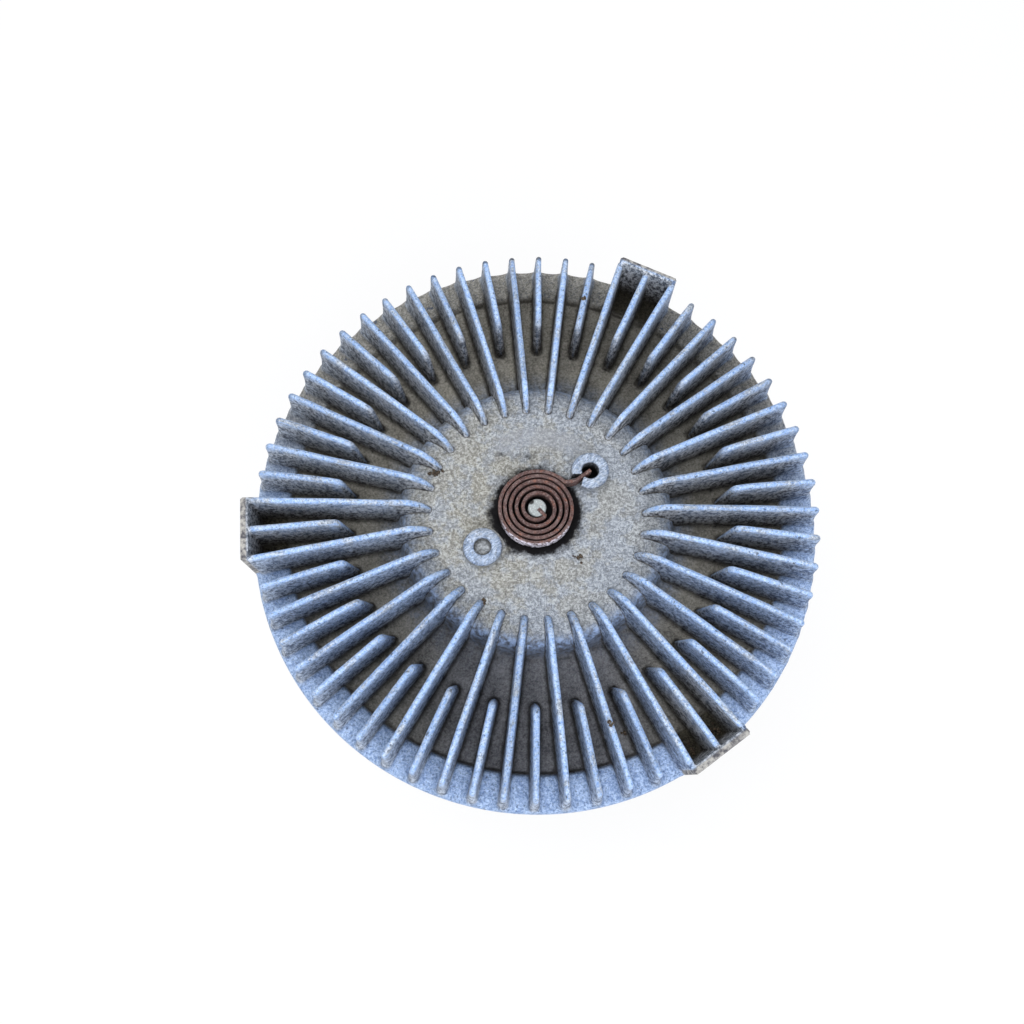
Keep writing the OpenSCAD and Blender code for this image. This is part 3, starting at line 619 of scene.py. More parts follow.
    def ground_colour(self, on: CastSurface) -> Socket:
        """Joins the colours of the centre, the floor and the rim.

        Args:
            on: what the colour depends on.

        Returns:
            The socket of the colour.
        """
        wires, radius = on.wires, on.polar["Radius"]
        soft = wires.band(radius, *self.wall_span)
        crisp = wires.times(wires.band(radius, *self.wall_south_span), on.south)
        outside = wires.math("MAXIMUM", soft, crisp)
        inner = wires.mix(outside, self.centre_colour(on), self.floor_colour(on))
        return wires.mix(wires.band(radius, *self.rim_span), inner, self.rim_colour(on))

    def crest_colour(self, on: CastSurface) -> Socket:
        """Mixes the mottled blue of the crests, a painted sky reflection, with worn grey.

        Args:
            on: what the colour depends on.

        Returns:
            The socket of the colour.
        """
        wires, grain = on.wires, on.grain
        mottled = wires.join(grain["Mottle"], 0.35, grain["Grit"], 0.65)
        rubbed = wires.band(on.drawn["Streak"], 0.2, 0.8, 0.2, 0.9)
        worn = wires.times(wires.band(grain["Blotch"], 0.4, 0.9), rubbed)
        crest = wires.mix(worn, wires.tones(mottled, self.crest), wires.tones(grain["Grit"], self.worn))
        dark = self.crest_dark
        return wires.marks(
            crest, grain, Speckle=(0.4, self.crest_fleck), Pits=(0.5, dark), Specks=(0.7, dark)
        )

    def flank_colour(self, on: CastSurface) -> Socket:
        """Mixes the colour of a fin's flank from its foot up: painted shade low down, painted light higher
        up, and painted sky reflection on open flanks and outer ends.

        Args:
            on: what the colour depends on.

        Returns:
            The socket of the colour.
        """
        wires, grain, polar = on.wires, on.grain, on.polar
        grit = on.drawn["Grit"]
        rise = wires.mask("rise")
        # The sheltered pockets get no painted light and no painted sky reflection.
        open_air = wires.band(wires.mask("sheltered"), 0.0, 1.0, 1.0, 0.0)
        # Painted shade low on the flank, painted light near the crest.
        foot_shade = wires.band(rise, 0.12, 0.5)
        flank = wires.mix(foot_shade, wires.tones(grit, self.low), wires.tones(grit, self.flank))
        flank = wires.mix(wires.band(rise, 0.68, 0.97), flank, wires.tones(grit, self.high))
        # Painted light high on the western flanks, painted sky reflection high on the southern ones.
        lit_from_west = wires.band(polar["Across"], *self.west_span, 0.0, 0.45)
        skylit = wires.band(on.south, 0.1, 0.8, 0.0, 0.85)
        for lit, full_rise, tones in ((lit_from_west, 0.5, self.high), (skylit, 0.6, self.sky_reflection)):
            lit_upper = wires.times(lit, wires.band(rise, 0.05, full_rise))
            flank = wires.mix(wires.times(lit_upper, open_air), flank, wires.tones(grit, tones))
        flank = wires.stain(flank, on.drawn["Streak"], 0.3, self.low[0])
        # Painted sky reflection on the open outer ends of the fins.
        east = wires.band(polar["Across"], *self.end_span)
        reflected_ends = wires.mix(east, wires.tones(grit, self.end_reflection_west), wires.tones(grit, self.end_reflection_east))
        outer = wires.times(wires.band(polar["Radius"], *self.outer_span), open_air)
        streaky = wires.band(on.drawn["Streak"], 0.0, 1.0, 1.0, 0.45)
        flank = wires.mix(wires.times(outer, streaky), flank, reflected_ends)
        return wires.marks(flank, grain, Pits=(0.45, self.low[0]), Specks=(0.6, self.low[0]))

    def wire(self, coat: Coat) -> None:
        """Mixes the zones of the casting by its masks, then adds the dirt and the soot, both with painted
        shade.

        Args:
            coat: the material that takes the finish.
        """
        wires = coat.wires
        polar = coat.use(Effect.PLACE)
        grain = coat.use(Effect.GRAIN, Grain=self.grain)
        drawn = coat.use(Effect.STREAKS)
        on = CastSurface(wires, polar, grain, drawn, wires.band(polar["Away"], *self.south_span))
        crest = wires.mask("crest")
        fin = wires.mix(crest, self.flank_colour(on), self.crest_colour(on))
        fin = wires.mix(wires.mask("lug"), fin, wires.tones(grain["Mottle"], self.lug))
        on_fin = wires.math("MAXIMUM", wires.band(wires.mask("rise"), 0.03, 0.14), crest)
        metal = wires.mix(on_fin, self.ground_colour(on), fin)
        # Painted shade with real dirt: corners, steps, pockets and hollows take the dirt colour.
        grime_and_shade = coat.use(Effect.GRIME_AND_SHADE, Hollow=wires.mask("hollow"), Clump=4.0, Ragged=1.2)["Mask"]
        # Soot with painted shadow round the coil, and painted shade round the fin noses and in the boss
        # holes.
        sooty_and_shaded = coat.use(Effect.GRIME_AND_SHADE, Hollow=wires.mask("soot"), Clump=2.4, Ragged=1.4)["Mask"]
        thick = wires.band(wires.math("ABSOLUTE", polar["Across"]), *self.thin_dirt_and_shade_span, 0.7, 0.4)
        dirty_and_shaded = wires.mix(wires.times(grime_and_shade, thick), metal, tint(self.dirt))
        coat.give("Base Color", wires.stain(dirty_and_shaded, sooty_and_shaded, 1.0, self.soot))
        coat.give("Roughness", wires.band(grime_and_shade, 0.0, 1.0, 0.55, 0.85))
        coat.give("Metallic", wires.band(wires.math("MAXIMUM", grime_and_shade, sooty_and_shaded), 0.0, 0.8, 0.2, 0.0))
        coat.give("Specular IOR Level", self.gloss)
        coat.relief(grain["Relief"], 0.45 * MM, 0.9)


@dataclass(frozen=True)
class BodyCasting(Finish):
    """Cast aluminium of the rear body, with turned seats that stay bright."""

    name: str = "body_casting"
    skin: Tones = ("82827d", "b5b7b3")
    fleck: str = "f0f3f3"
    seat: Tones = ("b5b7b3", "e9ebee")
    dirt: str = "312b24"

    def wire(self, coat: Coat) -> None:
        """Mixes cast skin, machined seats and the dirt and painted shade of the corners.

        Args:
            coat: the material that takes the finish.
        """
        wires = coat.wires
        grain = coat.use(Effect.GRAIN, Grain=0.7)
        ring = coat.use(Effect.RINGS, Pitch=0.35)["Ring"]
        machined = wires.mask("machined")
        skin = wires.stain(wires.tones(grain["Blotch"], self.skin), grain["Speckle"], 0.4, self.fleck)
        metal = wires.mix(machined, skin, wires.tones(wires.band(ring, 0.3, 0.7), self.seat))
        # Painted shade with dirt in the corners, pad feet, tapped holes and rib feet.
        grime_and_shade = coat.use(Effect.GRIME_AND_SHADE, Hollow=wires.mask("hollow"), Reach=0.75, Clump=6.0)["Mask"]
        coat.give("Base Color", wires.stain(metal, grime_and_shade, 0.8, self.dirt))
        coat.give("Roughness", wires.band(machined, 0.0, 1.0, 0.58, 0.34))
        coat.give("Metallic", wires.band(grime_and_shade, 0.0, 0.8, 0.55, 0.05))
        rough = wires.times(grain["Relief"], wires.band(machined, 0.0, 1.0, 1.0, 0.08))
        coat.relief(wires.math("ADD", rough, wires.times(ring, 0.05)), 0.3 * MM, 0.7)


@dataclass(frozen=True)
class TurnedMetal(Finish):
    """Turned or ground metal with lathe rings, bright edges and some rust."""

    name: str
    bright: str
    dull: str
    pitch: float = 0.3
    rust: float = 0.3
    shine: float = 0.32

    def wire(self, coat: Coat) -> None:
        """Mixes ringed metal with worn edges and rust.

        Args:
            coat: the material that takes the finish.
        """
        wires = coat.wires
        ring = coat.use(Effect.RINGS, Pitch=self.pitch)["Ring"]
        rust = coat.use(Effect.RUST, Spread=self.rust, Patch=6.0)
        wear = coat.use(Effect.WEAR, Reach=0.4)["Mask"]
        metal = wires.tones(wires.band(ring, 0.3, 0.7), (self.dull, self.bright))
        stained = wires.mix(rust["Mask"], metal, rust["Colour"])
        coat.give("Base Color", wires.stain(stained, wear, 0.6, self.bright))
        coat.give("Roughness", wires.band(rust["Mask"], 0.0, 1.0, self.shine, 0.8))
        coat.give("Metallic", wires.band(rust["Mask"], 0.0, 1.0, 0.85, 0.1))
        coat.relief(wires.join(ring, 0.3, rust["Relief"], 0.4), 0.06 * MM, 0.8)


@dataclass(frozen=True)
class RustedStrip(Finish):
    """Rusted bimetal strip, purple-brown with orange bloom and a pale crust."""

    name: str = "bimetal_strip"
    metal: Tones = ("523f3e", "77625e")
    gap: str = "070404"
    crust: str = "f0eaf3"
    fleck: str = "c4b4ae"

    def wire(self, coat: Coat) -> None:
        """Mixes the rust with its crust.

        Args:
            coat: the material that takes the finish.
        """
        wires = coat.wires
        rust = coat.use(Effect.RUST, Spread=0.62, Patch=2.2)
        grain = coat.use(Effect.GRAIN, Grain=0.4)
        metal = wires.tones(grain["Blotch"], self.metal)
        metal = wires.mix(wires.times(rust["Mask"], 0.4), metal, rust["Colour"])
        metal = wires.marks(metal, grain, Speckle=(0.55, self.fleck), Pits=(0.5, self.gap))
        shaded = wires.mix(wires.mask("shaded"), metal, tint(self.gap))
        crusted = wires.times(wires.mask("crust"), wires.band(grain["Mottle"], 0.25, 0.6))
        coat.give("Base Color", wires.mix(crusted, shaded, tint(self.crust)))
        coat.give("Roughness", wires.band(rust["Mask"], 0.0, 1.0, 0.5, 0.85))
        coat.give("Metallic", 0.15)
        coat.give("Specular IOR Level", 0.2)
        coat.relief(rust["Relief"], 0.12 * MM, 0.8)


@dataclass(frozen=True)
class PinSteel(Finish):
    """Staked steel pin, dull and dusty, with painted shade at the notch beside the strip."""

    name: str = "pin_steel"
    metal: Tones = ("969c9b", "d3d9d8")
    # Painted shade: the near-black of the notch.
    stain: str = "13110f"
    notch: Numbers = (-2.1 * MM, 2.1 * MM, 0.0)
    notch_size: float = 1.3 * MM

    def wire(self, coat: Coat) -> None:
        """Mixes dusty steel with the painted shade of the notch.

        Args:
            coat: the material that takes the finish.
        """
        wires = coat.wires
        grain = coat.use(Effect.GRAIN, Grain=0.5)
        rust = coat.use(Effect.RUST, Spread=0.32, Patch=2.0)
        metal = wires.tones(grain["Speckle"], self.metal)
        metal = wires.mix(wires.times(rust["Mask"], 0.7), metal, rust["Colour"])
        # Painted shade in a disc at the notch.
        flat = wires.vector("MULTIPLY", wires.object_place(), (1.0, 1.0, 0.0)).outputs[0]
        away = wires.vector("DISTANCE", flat, self.notch).outputs["Value"]
        dark = wires.band(away, self.notch_size, 0.5 * self.notch_size)
        coat.give("Base Color", wires.mix(dark, metal, tint(self.stain)))
        coat.give("Roughness", 0.45)
        coat.give("Metallic", wires.band(dark, 0.0, 1.0, 0.35, 0.0))
        coat.relief(grain["Relief"], 0.15 * MM, 0.6)


@dataclass(frozen=True)
class TwoTone(Finish):
    """Two near tones mixed by the grain, for moulded pieces and dry dirt."""

    name: str
    dark: str
    light: str
    rough: float = 0.6
    pattern: str = "Blotch"
    depth: float = 0.05 * MM
    strength: float = 0.5

    def wire(self, coat: Coat) -> None:
        """Mixes the two tones.

        Args:
            coat: the material that takes the finish.
        """
        grain = coat.use(Effect.GRAIN, Grain=0.5)
        coat.give("Base Color", coat.wires.tones(grain[self.pattern], (self.dark, self.light)))
        coat.give("Roughness", self.rough)
        coat.relief(grain["Relief"], self.depth, self.strength)


class Shell:
    """Gathers points, faces and masks of one mesh."""

    def __init__(self, *masks: str) -> None:
        """Starts an empty mesh.

        Args:
            masks: names of the masks that its points carry.
        """
        self.points: list[Array] = []
        self.faces: list[Sequence[int]] = []
        self.masks: dict[str, list[Array]] = {name: [] for name in masks}
        self.count = 0

    def add(self, points: Array, faces: Sequence[Sequence[int]], **masks: Array) -> int:
        """Adds a patch.

        Args:
            points: places, one per row.
            faces: corners of each face, counted from the patch's first point.
            masks: values by mask name, one per point or one for all.

        Returns:
            The number of the patch's first point in the whole mesh.
        """
        first = self.count
        self.points.append(points)
        self.faces.extend([corner + first for corner in face] for face in faces)
        for name, held in self.masks.items():
            held.append(np.broadcast_to(np.asarray(masks.get(name, 0.0), float), (len(points),)))
        self.count += len(points)
        return first

    def build(self, name: str, sharp: float = 40.0) -> Object:
        """Makes the object, welded and with its normals outward.

        Args:
            name: name of the object and its mesh.
            sharp: angle in degrees from which an edge is drawn sharp.

        Returns:
            The new object.
        """
        mesh = bpy.data.meshes.new(name)
        mesh.from_pydata(np.concatenate(self.points).tolist(), [], self.faces)
        for mask, held in self.masks.items():
            layer = mesh.attributes.new(mask, "FLOAT", "POINT")
            layer.data.foreach_set("value", np.concatenate(held).astype(np.float32))
        tidy = bmesh.new()
        tidy.from_mesh(mesh)
        bmesh.ops.remove_doubles(tidy, verts=tidy.verts, dist=WELD)
        bmesh.ops.recalc_face_normals(tidy, faces=tidy.faces)
        tidy.to_mesh(mesh)
        tidy.free()
        mesh.shade_smooth()
        mesh.set_sharp_from_angle(angle=math.radians(sharp))
        made = bpy.data.objects.new(name, mesh)
        bpy.context.scene.collection.objects.link(made)
        return made


class SubAssembly:
    """Parts that are built as one piece, dressed and hung on a body."""

    def build(self) -> Object:
        """Builds the piece."""
        raise NotImplementedError

    def hang(self, shelf: EffectShelf, finish: Finish, body: str, slot: str, *nodes: str) -> None:
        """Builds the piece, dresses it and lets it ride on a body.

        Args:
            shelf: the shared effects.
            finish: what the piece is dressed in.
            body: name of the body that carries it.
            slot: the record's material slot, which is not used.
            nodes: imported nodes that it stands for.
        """
        piece = self.build()
        finish.dress(shelf, piece)
        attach(piece, body)
        if nodes:
            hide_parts(*nodes)
        log.info("%s rides on %s, %d faces", piece.name, body, len(piece.data.polygons))


def heading(turn: float) -> Array:
    """Gives the level direction at an angle round the axis."""
    return np.array([math.cos(turn), math.sin(turn)])


def round_off(radius: Union[float, Array], reach: Array) -> Array:
    """Gives how far a quarter round falls away at each reach from its start."""
    return radius - np.sqrt(radius ** 2 - np.clip(reach, 0.0, radius) ** 2)


def level_points(radius: float, angles: Array, height: float, centre: Numbers = (0.0, 0.0)) -> Array:
    """Gives the points of a level circle at the given angles, one per row."""
    flat = radius * np.column_stack((np.cos(angles), np.sin(angles))) + np.asarray(centre)
    return np.column_stack((flat, np.full(len(angles), height)))


def ring_points(radius: float, count: int, height: float, centre: Numbers = (0.0, 0.0)) -> Array:
    """Gives the evenly spaced points of a level circle, one per row."""
    return level_points(radius, np.arange(count) * FULL_TURN / count, height, centre)


def strip_faces(rows: int, columns: int, closed: bool = True) -> list[list[int]]:
    """Gives the four-sided faces of a grid.

    Args:
        rows: number of rows.
        columns: number of points in a row.
        closed: whether each row closes into a ring.

    Returns:
        The corners of each face.
    """
    last = columns if closed else columns - 1
    across = np.arange(last)
    beside = (across + 1) % columns
    rows_of = np.arange(rows - 1)[:, None] * columns
    corners = (rows_of + across, rows_of + columns + across, rows_of + columns + beside, rows_of + beside)
    return np.stack(corners, axis=-1).reshape(-1, 4).tolist()


def turned(outline: Array, count: int, centre: Numbers = (0.0, 0.0)) -> Patch:
    """Turns an outline of radius and height round an upright axis, into points and faces."""
    rings = [ring_points(radius, count, height, centre) for radius, height in outline]
    return np.concatenate(rings), strip_faces(len(outline), count)


def rounded(corners: Sequence[Numbers], closed: bool = True) -> Array:
    """Rounds the corners of an outline.

    Args:
        corners: radius and height of each corner, then the radius of its round unless it is sharp.
        closed: whether the last corner joins the first.

    Returns:
        The rounded outline, one pair per row, with its first point again at the end if it is closed.
    """
    places = [np.array(corner[:2], float) for corner in corners]
    result: list[Array] = []
    for number, (place, corner) in enumerate(zip(places, corners)):
        end = not closed and number in (0, len(places) - 1)
        if len(corner) < 3 or end:
            result.append(place)
            continue
        before = places[number - 1] - place
        after = places[(number + 1) % len(places)] - place
        reach = min(corner[2], 0.45 * np.linalg.norm(before), 0.45 * np.linalg.norm(after))
        start = place + before / np.linalg.norm(before) * reach
        stop = place + after / np.linalg.norm(after) * reach
        for step in range(ROUND_STEPS + 1):
            share = step / ROUND_STEPS
            result.append((1 - share) ** 2 * start + 2 * share * (1 - share) * place + share ** 2 * stop)
    if closed:
        result.append(result[0])
    return np.array(result)


@dataclass(frozen=True)
class Loop:
    """A circle that bounds a pierced face."""

    x: float
    y: float
    radius: float
    count: int

    def clears(self, place: Numbers, margin: float) -> bool:
        """Tells whether a place lies outside the circle by more than a margin."""
        return math.hypot(place[0] - self.x, place[1] - self.y) > self.radius + margin


def pierced(outer: Loop, holes: Sequence[Loop], height: float, spacing: float) -> Patch:
    """Fills a level round face that has round holes.

    Args:
        outer: the face's outer circle.
        holes: circles to leave open.
        height: height of the face.
        spacing: distance between the filling points.

    Returns:
        The points and the faces.
    """
    flat: list[Vector] = []
    edges: list[tuple[int, int]] = []
    for loop in (outer, *holes):
        first = len(flat)
        circle = ring_points(loop.radius, loop.count, 0.0, (loop.x, loop.y))
        flat.extend(Vector(point[:2]) for point in circle)
        edges.extend((first + step, first + (step + 1) % loop.count) for step in range(loop.count))
    for row in range(1, int(outer.radius / spacing)):
        radius = row * spacing
        count = max(6, int(FULL_TURN * radius / spacing))
        for point in ring_points(radius, count, 0.0, (outer.x, outer.y)):
            clear = all(hole.clears(point, 0.4 * spacing) for hole in holes)
            if clear and radius < outer.radius - 0.5 * spacing:
                flat.append(Vector(point[:2]))
    found = delaunay_2d_cdt(flat, edges, [], 1, 1e-7)
    points = np.array([(point.x, point.y, height) for point in found[0]])
    faces: list[list[int]] = []
    for corners in found[2]:
        middle = points[list(corners)].mean(axis=0)
        if all(hole.clears(middle, -0.001 * hole.radius) for hole in holes):
            faces.append(list(corners))
    return points, faces


@dataclass
class CoverField:
    """Points of the cover that carry the fins, by row and column."""

    radius: Array
    angle: Array
    owner: Array
    turn: Array
    near_lug: Array
    ground: Array

    def __post_init__(self) -> None:
        """Starts on the bare ground, far from any fin."""
        self.height = self.ground.copy()
        self.clear = np.full_like(self.radius, 1.0)

    @property
    def lift(self) -> Array:
        """How high each point stands above the ground."""
        return self.height - self.ground


@dataclass(frozen=True)
class FinSide:
    """Where each point lies beside a fin, and what kind of fin that is."""

    along: Array
    aside: Array
    long: Array
    boxed: Array
    drop: Array


@dataclass
class FinnedCover(SubAssembly):
    """Cast front cover: raised centre, sixty fins, three boxed lugs, coil bosses, rim and skirt."""

    rim: float
    top: float
    lip: float
    lug_over: float = 0.5 * MM
    fin_height: float = 19.8 * MM
    plateau_height: float = 10.5 * MM
    plateau: float = 49.3 * MM
    shoulder: float = 5.8 * MM
    foot: float = 3.0 * MM
    wall_draft: float = 0.5 * MM
    band_width: float = 12.0 * MM
    step_run: float = 1.2 * MM
    step_height: float = 2.2 * MM
    step_lead: float = 0.4 * MM
    step_trail: float = 0.3 * MM
    edge_height: float = 0.4 * MM
    rim_round: float = 1.0 * MM
    crest: float = 2.2 * MM
    root: float = 3.6 * MM
    long_start: float = 49.0 * MM
    long_round: float = 12.3 * MM
    short_start: float = 65.4 * MM
    short_run: float = 2.6 * MM
    short_round: float = 3.6 * MM
    tip_inset: float = 4.0 * MM
    tip_round: float = 3.0 * MM
    tip_curve: float = 1.5
    foot_inset: float = 0.6 * MM
    root_depth: float = 1.5 * MM
    nose_lift: float = 0.3 * MM
    nose_slim: float = 0.07
    nose_slim_span: Span = (38 * MM, 48 * MM)
    tip_slim: float = 0.14
    tip_slim_span: Span = (84 * MM, 97 * MM)
    fin_fillet: float = 1.4 * MM
    nose_fillet: float = 0.45
    nose_fillet_span: Span = (42 * MM, 50 * MM)
    end_fillet: float = 2.9 * MM
    end_fillet_span: Span = (86 * MM, 100 * MM)
    fin_drop: float = 0.35
    drop_seed: int = 11
    lug_width: float = 22.4 * MM
    lug_wall: float = 2.8 * MM
    lug_inset: float = 0.5 * MM
    lug_round: float = 0.6 * MM
    lug_corner: float = 0.9 * MM
    lug_draft: float = 0.2 * MM
    lug_foot: float = 1.2 * MM
    lug_span: Span = (math.radians(6.3), math.radians(7.8))
    box_span: Span = (math.radians(5.4), math.radians(6.0))
    flat_span: Span = (95 * MM, 97.5 * MM)
    flat_end: float = 101.1 * MM
    first_lug: float = math.radians(66)
    lugs: int = 3
    fins: int = 60
    centre_ring: float = 34.5 * MM
    boss_place: float = 23.4 * MM
    boss_angle: float = math.radians(37)
    boss: float = 6.75 * MM
    boss_height: float = 5.2 * MM
    boss_hole: float = 3.05 * MM
    boss_slot: float = 1.8 * MM
    slot_flare: float = 1.7 * MM
    boss_flare: float = 1.6 * MM
    boss_steps: int = 64
    held_depth: float = 8.4 * MM
    spare_depth: float = 2.0 * MM
    pin_hole: float = 3.225 * MM
    skirt_lean: float = 1.6 * MM
    skirt_wall: float = 4.2 * MM
    lip_reach: float = 4.6 * MM
    lip_thick: float = 2.4 * MM
    joint_rise: float = 8 * MM
    chamber_wall: float = 9.3 * MM
    casting_wall: float = 5 * MM
    reservoir_wall: float = 5.3 * MM
    plate_ledge: float = 2.5 * MM
    plate_recess: float = 1 * MM
    bush: float = 9 * MM
    bush_height: float = 6 * MM
    lands: int = 6
    first_land: float = 56.25 * MM
    land_pitch: float = 4.5 * MM
    land_width: float = 1.9 * MM
    land_height: float = 5 * MM
    columns: Numbers = (0.0, 0.6, 0.95, 1.12, 1.45, 1.8, 2.2, 2.9)
    coarse: int = 6

    @classmethod
    def from_frame(cls) -> "FinnedCover":
        """Takes the rim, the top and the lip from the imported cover."""
        low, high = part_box("finned_cover")
        return cls(rim=high.x, top=high.z, lip=low.z)

    def __post_init__(self) -> None:
        """Works out the levels that the sizes give."""
        self.fin_top = self.top - self.lug_over
        self.floor = self.fin_top - self.fin_height
        self.plateau_top = self.floor + self.plateau_height
        self.band = self.rim - self.band_width
        self.edge = self.floor + self.edge_height
        self.pitch = FULL_TURN / self.fins
        self.slot_columns = 2 * len(self.columns) + 2

    def ground(self, radius: Array) -> Array:
        """Gives the height of the casting between the fins.

        Args:
            radius: distances from the axis.

        Returns:
            The height at each distance.
        """
        shoulder_end = self.plateau - self.wall_draft
        shoulder = self.plateau_top - round_off(self.shoulder, radius - (shoulder_end - self.shoulder))
        wall_low = self.floor + self.foot
        wall_high = self.plateau_top - self.shoulder
        share = np.clip((radius - shoulder_end) / self.wall_draft, 0.0, 1.0)
        wall = wall_high + (wall_low - wall_high) * share
        fillet = self.floor + round_off(self.foot, self.plateau + self.foot - radius)
        height = np.where(radius < shoulder_end, shoulder, np.where(radius < self.plateau, wall, fillet))
        step_from = self.band - self.step_run - self.step_lead
        step = ease(radius, step_from, self.band + self.step_trail) * self.step_height
        fall = np.clip((radius - self.band) / self.band_width, 0.0, 1.0)
        height = height + step - fall * (self.step_height - self.edge_height)
        return height - round_off(self.rim_round, radius - (self.rim - self.rim_round))

    def fin_inside(self, field: CoverField, side: FinSide, level: Array) -> Array:
        """Tells which points lie inside a fin at a given height.

        Args:
            field: the points.
            side: where they lie beside the fin.
            level: height to test at.

        Returns:
            True where the point is inside.
        """
        top = self.fin_top - side.drop
        half_crest = self.crest / 2
        crest_from = top - half_crest
        root_from = self.floor - self.root_depth
        taper = (self.root - self.crest) / 2
        half = self.root / 2 - taper * np.clip((level - root_from) / (crest_from - root_from), 0.0, 1.0)
        above = np.clip(level - crest_from, 0.0, half_crest)
        half = np.where(level > crest_from, np.sqrt(np.maximum(half_crest ** 2 - above ** 2, 0.0)), half)
        share = np.clip((level - self.floor) / self.fin_height, 0.0, 1.0)
        slim = self.tip_slim * ease(field.radius, *self.tip_slim_span) * share
        half = half * np.where(side.boxed, 1.0, 1 - slim)
        narrow = self.nose_slim * (1 - ease(side.along, *self.nose_slim_span))
        half = half * np.where(side.long, 1 - narrow, 1.0)

        nose = round_off(self.long_round, level - (top + self.nose_lift - self.long_round))
        lean = self.short_run * (level - self.floor) / self.fin_height
        bend = round_off(self.short_round, level - (top - self.short_round))
        long_begin = self.long_start - self.long_round + nose
        begin = np.where(side.long, long_begin, self.short_start + lean + bend)

        tip_from = top - self.tip_round
        slope = np.clip((tip_from - level) / (tip_from - self.edge), 0.0, 1.0)
        end = self.rim - self.tip_inset + (self.tip_inset - self.foot_inset) * slope ** self.tip_curve
        end = end - round_off(self.tip_round, level - tip_from)
        end = np.where(side.boxed, self.rim - self.lug_inset - self.lug_wall / 2, end)

        wider = (self.end_fillet - self.fin_fillet) * ease(field.radius, *self.end_fillet_span)
        nearer = (1 - self.nose_fillet) * ease(field.radius, *self.nose_fillet_span)
        fillet = (self.fin_fillet + wider) * (self.nose_fillet + nearer)
        flare = round_off(fillet, fillet - (level - field.ground))
        past = np.maximum(np.maximum(begin + half - side.along, side.along - (end - half)), 0.0)
        return np.hypot(past, side.aside) <= half + flare

    def lug_inside(self, field: CoverField, level: Array) -> Array:
        """Tells which points lie inside a lug's wall at a given height.

        Args:
            field: the points.
            level: height to test at.

        Returns:
            True where the point is inside.
        """
        half = self.lug_wall / 2
        middle = self.rim - self.lug_inset - half
        draft = self.lug_draft * (self.top - level) / self.fin_height
        grow = draft - round_off(self.lug_round, level - (self.top - self.lug_round))
        flare = round_off(self.lug_foot, self.lug_foot - (level - field.ground))
        aside = np.abs(field.radius * np.sin(field.turn))
        away = np.abs(field.radius * np.cos(field.turn) - middle)
        past = np.maximum(aside - (self.lug_width / 2 - self.lug_corner), 0.0)
        across = np.maximum(away - (half - self.lug_corner), 0.0)
        return np.hypot(past, across) <= self.lug_corner + grow + flare

    def rows(self) -> Array:
        """Gives the rings that carry the fins, closer where the form bends.

        Returns:
            The radius of each ring.
        """
        start = self.centre_ring
        shoulder = self.plateau - self.wall_draft - self.shoulder
        foot = self.plateau + self.foot
        short = self.short_start
        band = self.band
        stretches = (
            (start, 36.2 * MM, 2),
            (36.2 * MM, 40 * MM, 9),
            (40 * MM, shoulder, 3),
            (shoulder, self.plateau, 9),
            (self.plateau, foot, 5),
            (foot, short - 1.8 * MM, 4),
            (short - 1.8 * MM, short + 4 * MM, 10),
            (short + 4 * MM, band - 2 * MM, 6),
            (band - 2 * MM, band + 0.4 * MM, 6),
            (band + 0.4 * MM, 96 * MM, 4),
            (96 * MM, self.rim, 16),
        )
        radii = [np.linspace(low, high, count, endpoint=False) for low, high, count in stretches]
        return np.concatenate((*radii, [self.rim]))

    def lay_out(self) -> CoverField:
        """Lays out the rings' points on the bare casting.

        Returns:
            The points, with the fin that each column belongs to.
        """
        radii = self.rows()[:, None]
        sides = np.array(self.columns) * MM
        root = self.root / 2
        angles: list[Array] = []
        owner: list[int] = []
        spread = math.radians(1.5) * (1 - ease(radii, 52 * MM, 63 * MM))
        for fin in range(self.fins):
            wide = spread if fin % 2 else -spread
            border = self.pitch / 2 + wide
            reach = radii * np.sin(border)
            scale = np.minimum(1.0, 0.8 * reach / root)
            inner = sides[sides <= root + WELD][None, :] * scale
            rest = sides[sides > root + WELD][None, :] - root
            squeeze = np.minimum(1.0, 0.75 * (reach - root * scale) / rest.max())
            outer = root * scale + rest * squeeze
            half = np.concatenate((inner, outer), axis=1)
            middle = (half[:, -1:] + reach) / 2
            half = np.concatenate((half, middle), axis=1)
            both = np.concatenate((-half[:, :0:-1], half, reach), axis=1)
            angles.append(self.first_lug + self.pitch * fin + np.arcsin(both / radii))
            owner.extend([fin] * both.shape[1])
        angle = np.concatenate(angles, axis=1)
        turn = self.lug_turn(angle)
        near_lug = 1 - ease(np.abs(turn), *self.lug_span)
        flatten = near_lug * ease(radii, *self.flat_span) * (1 - ease(radii, self.flat_end, self.rim))
        radius = radii * (1 + flatten * (1 / np.cos(turn) - 1))
        ground = self.ground(np.minimum(radius, self.rim))
        return CoverField(radius, angle, np.array(owner), turn, near_lug, ground)

    def lug_turn(self, angle: Array) -> Array:
        """Gives the angle from the nearest lug's middle."""
        sector = FULL_TURN / self.lugs
        return (angle - self.first_lug + sector / 2) % sector - sector / 2

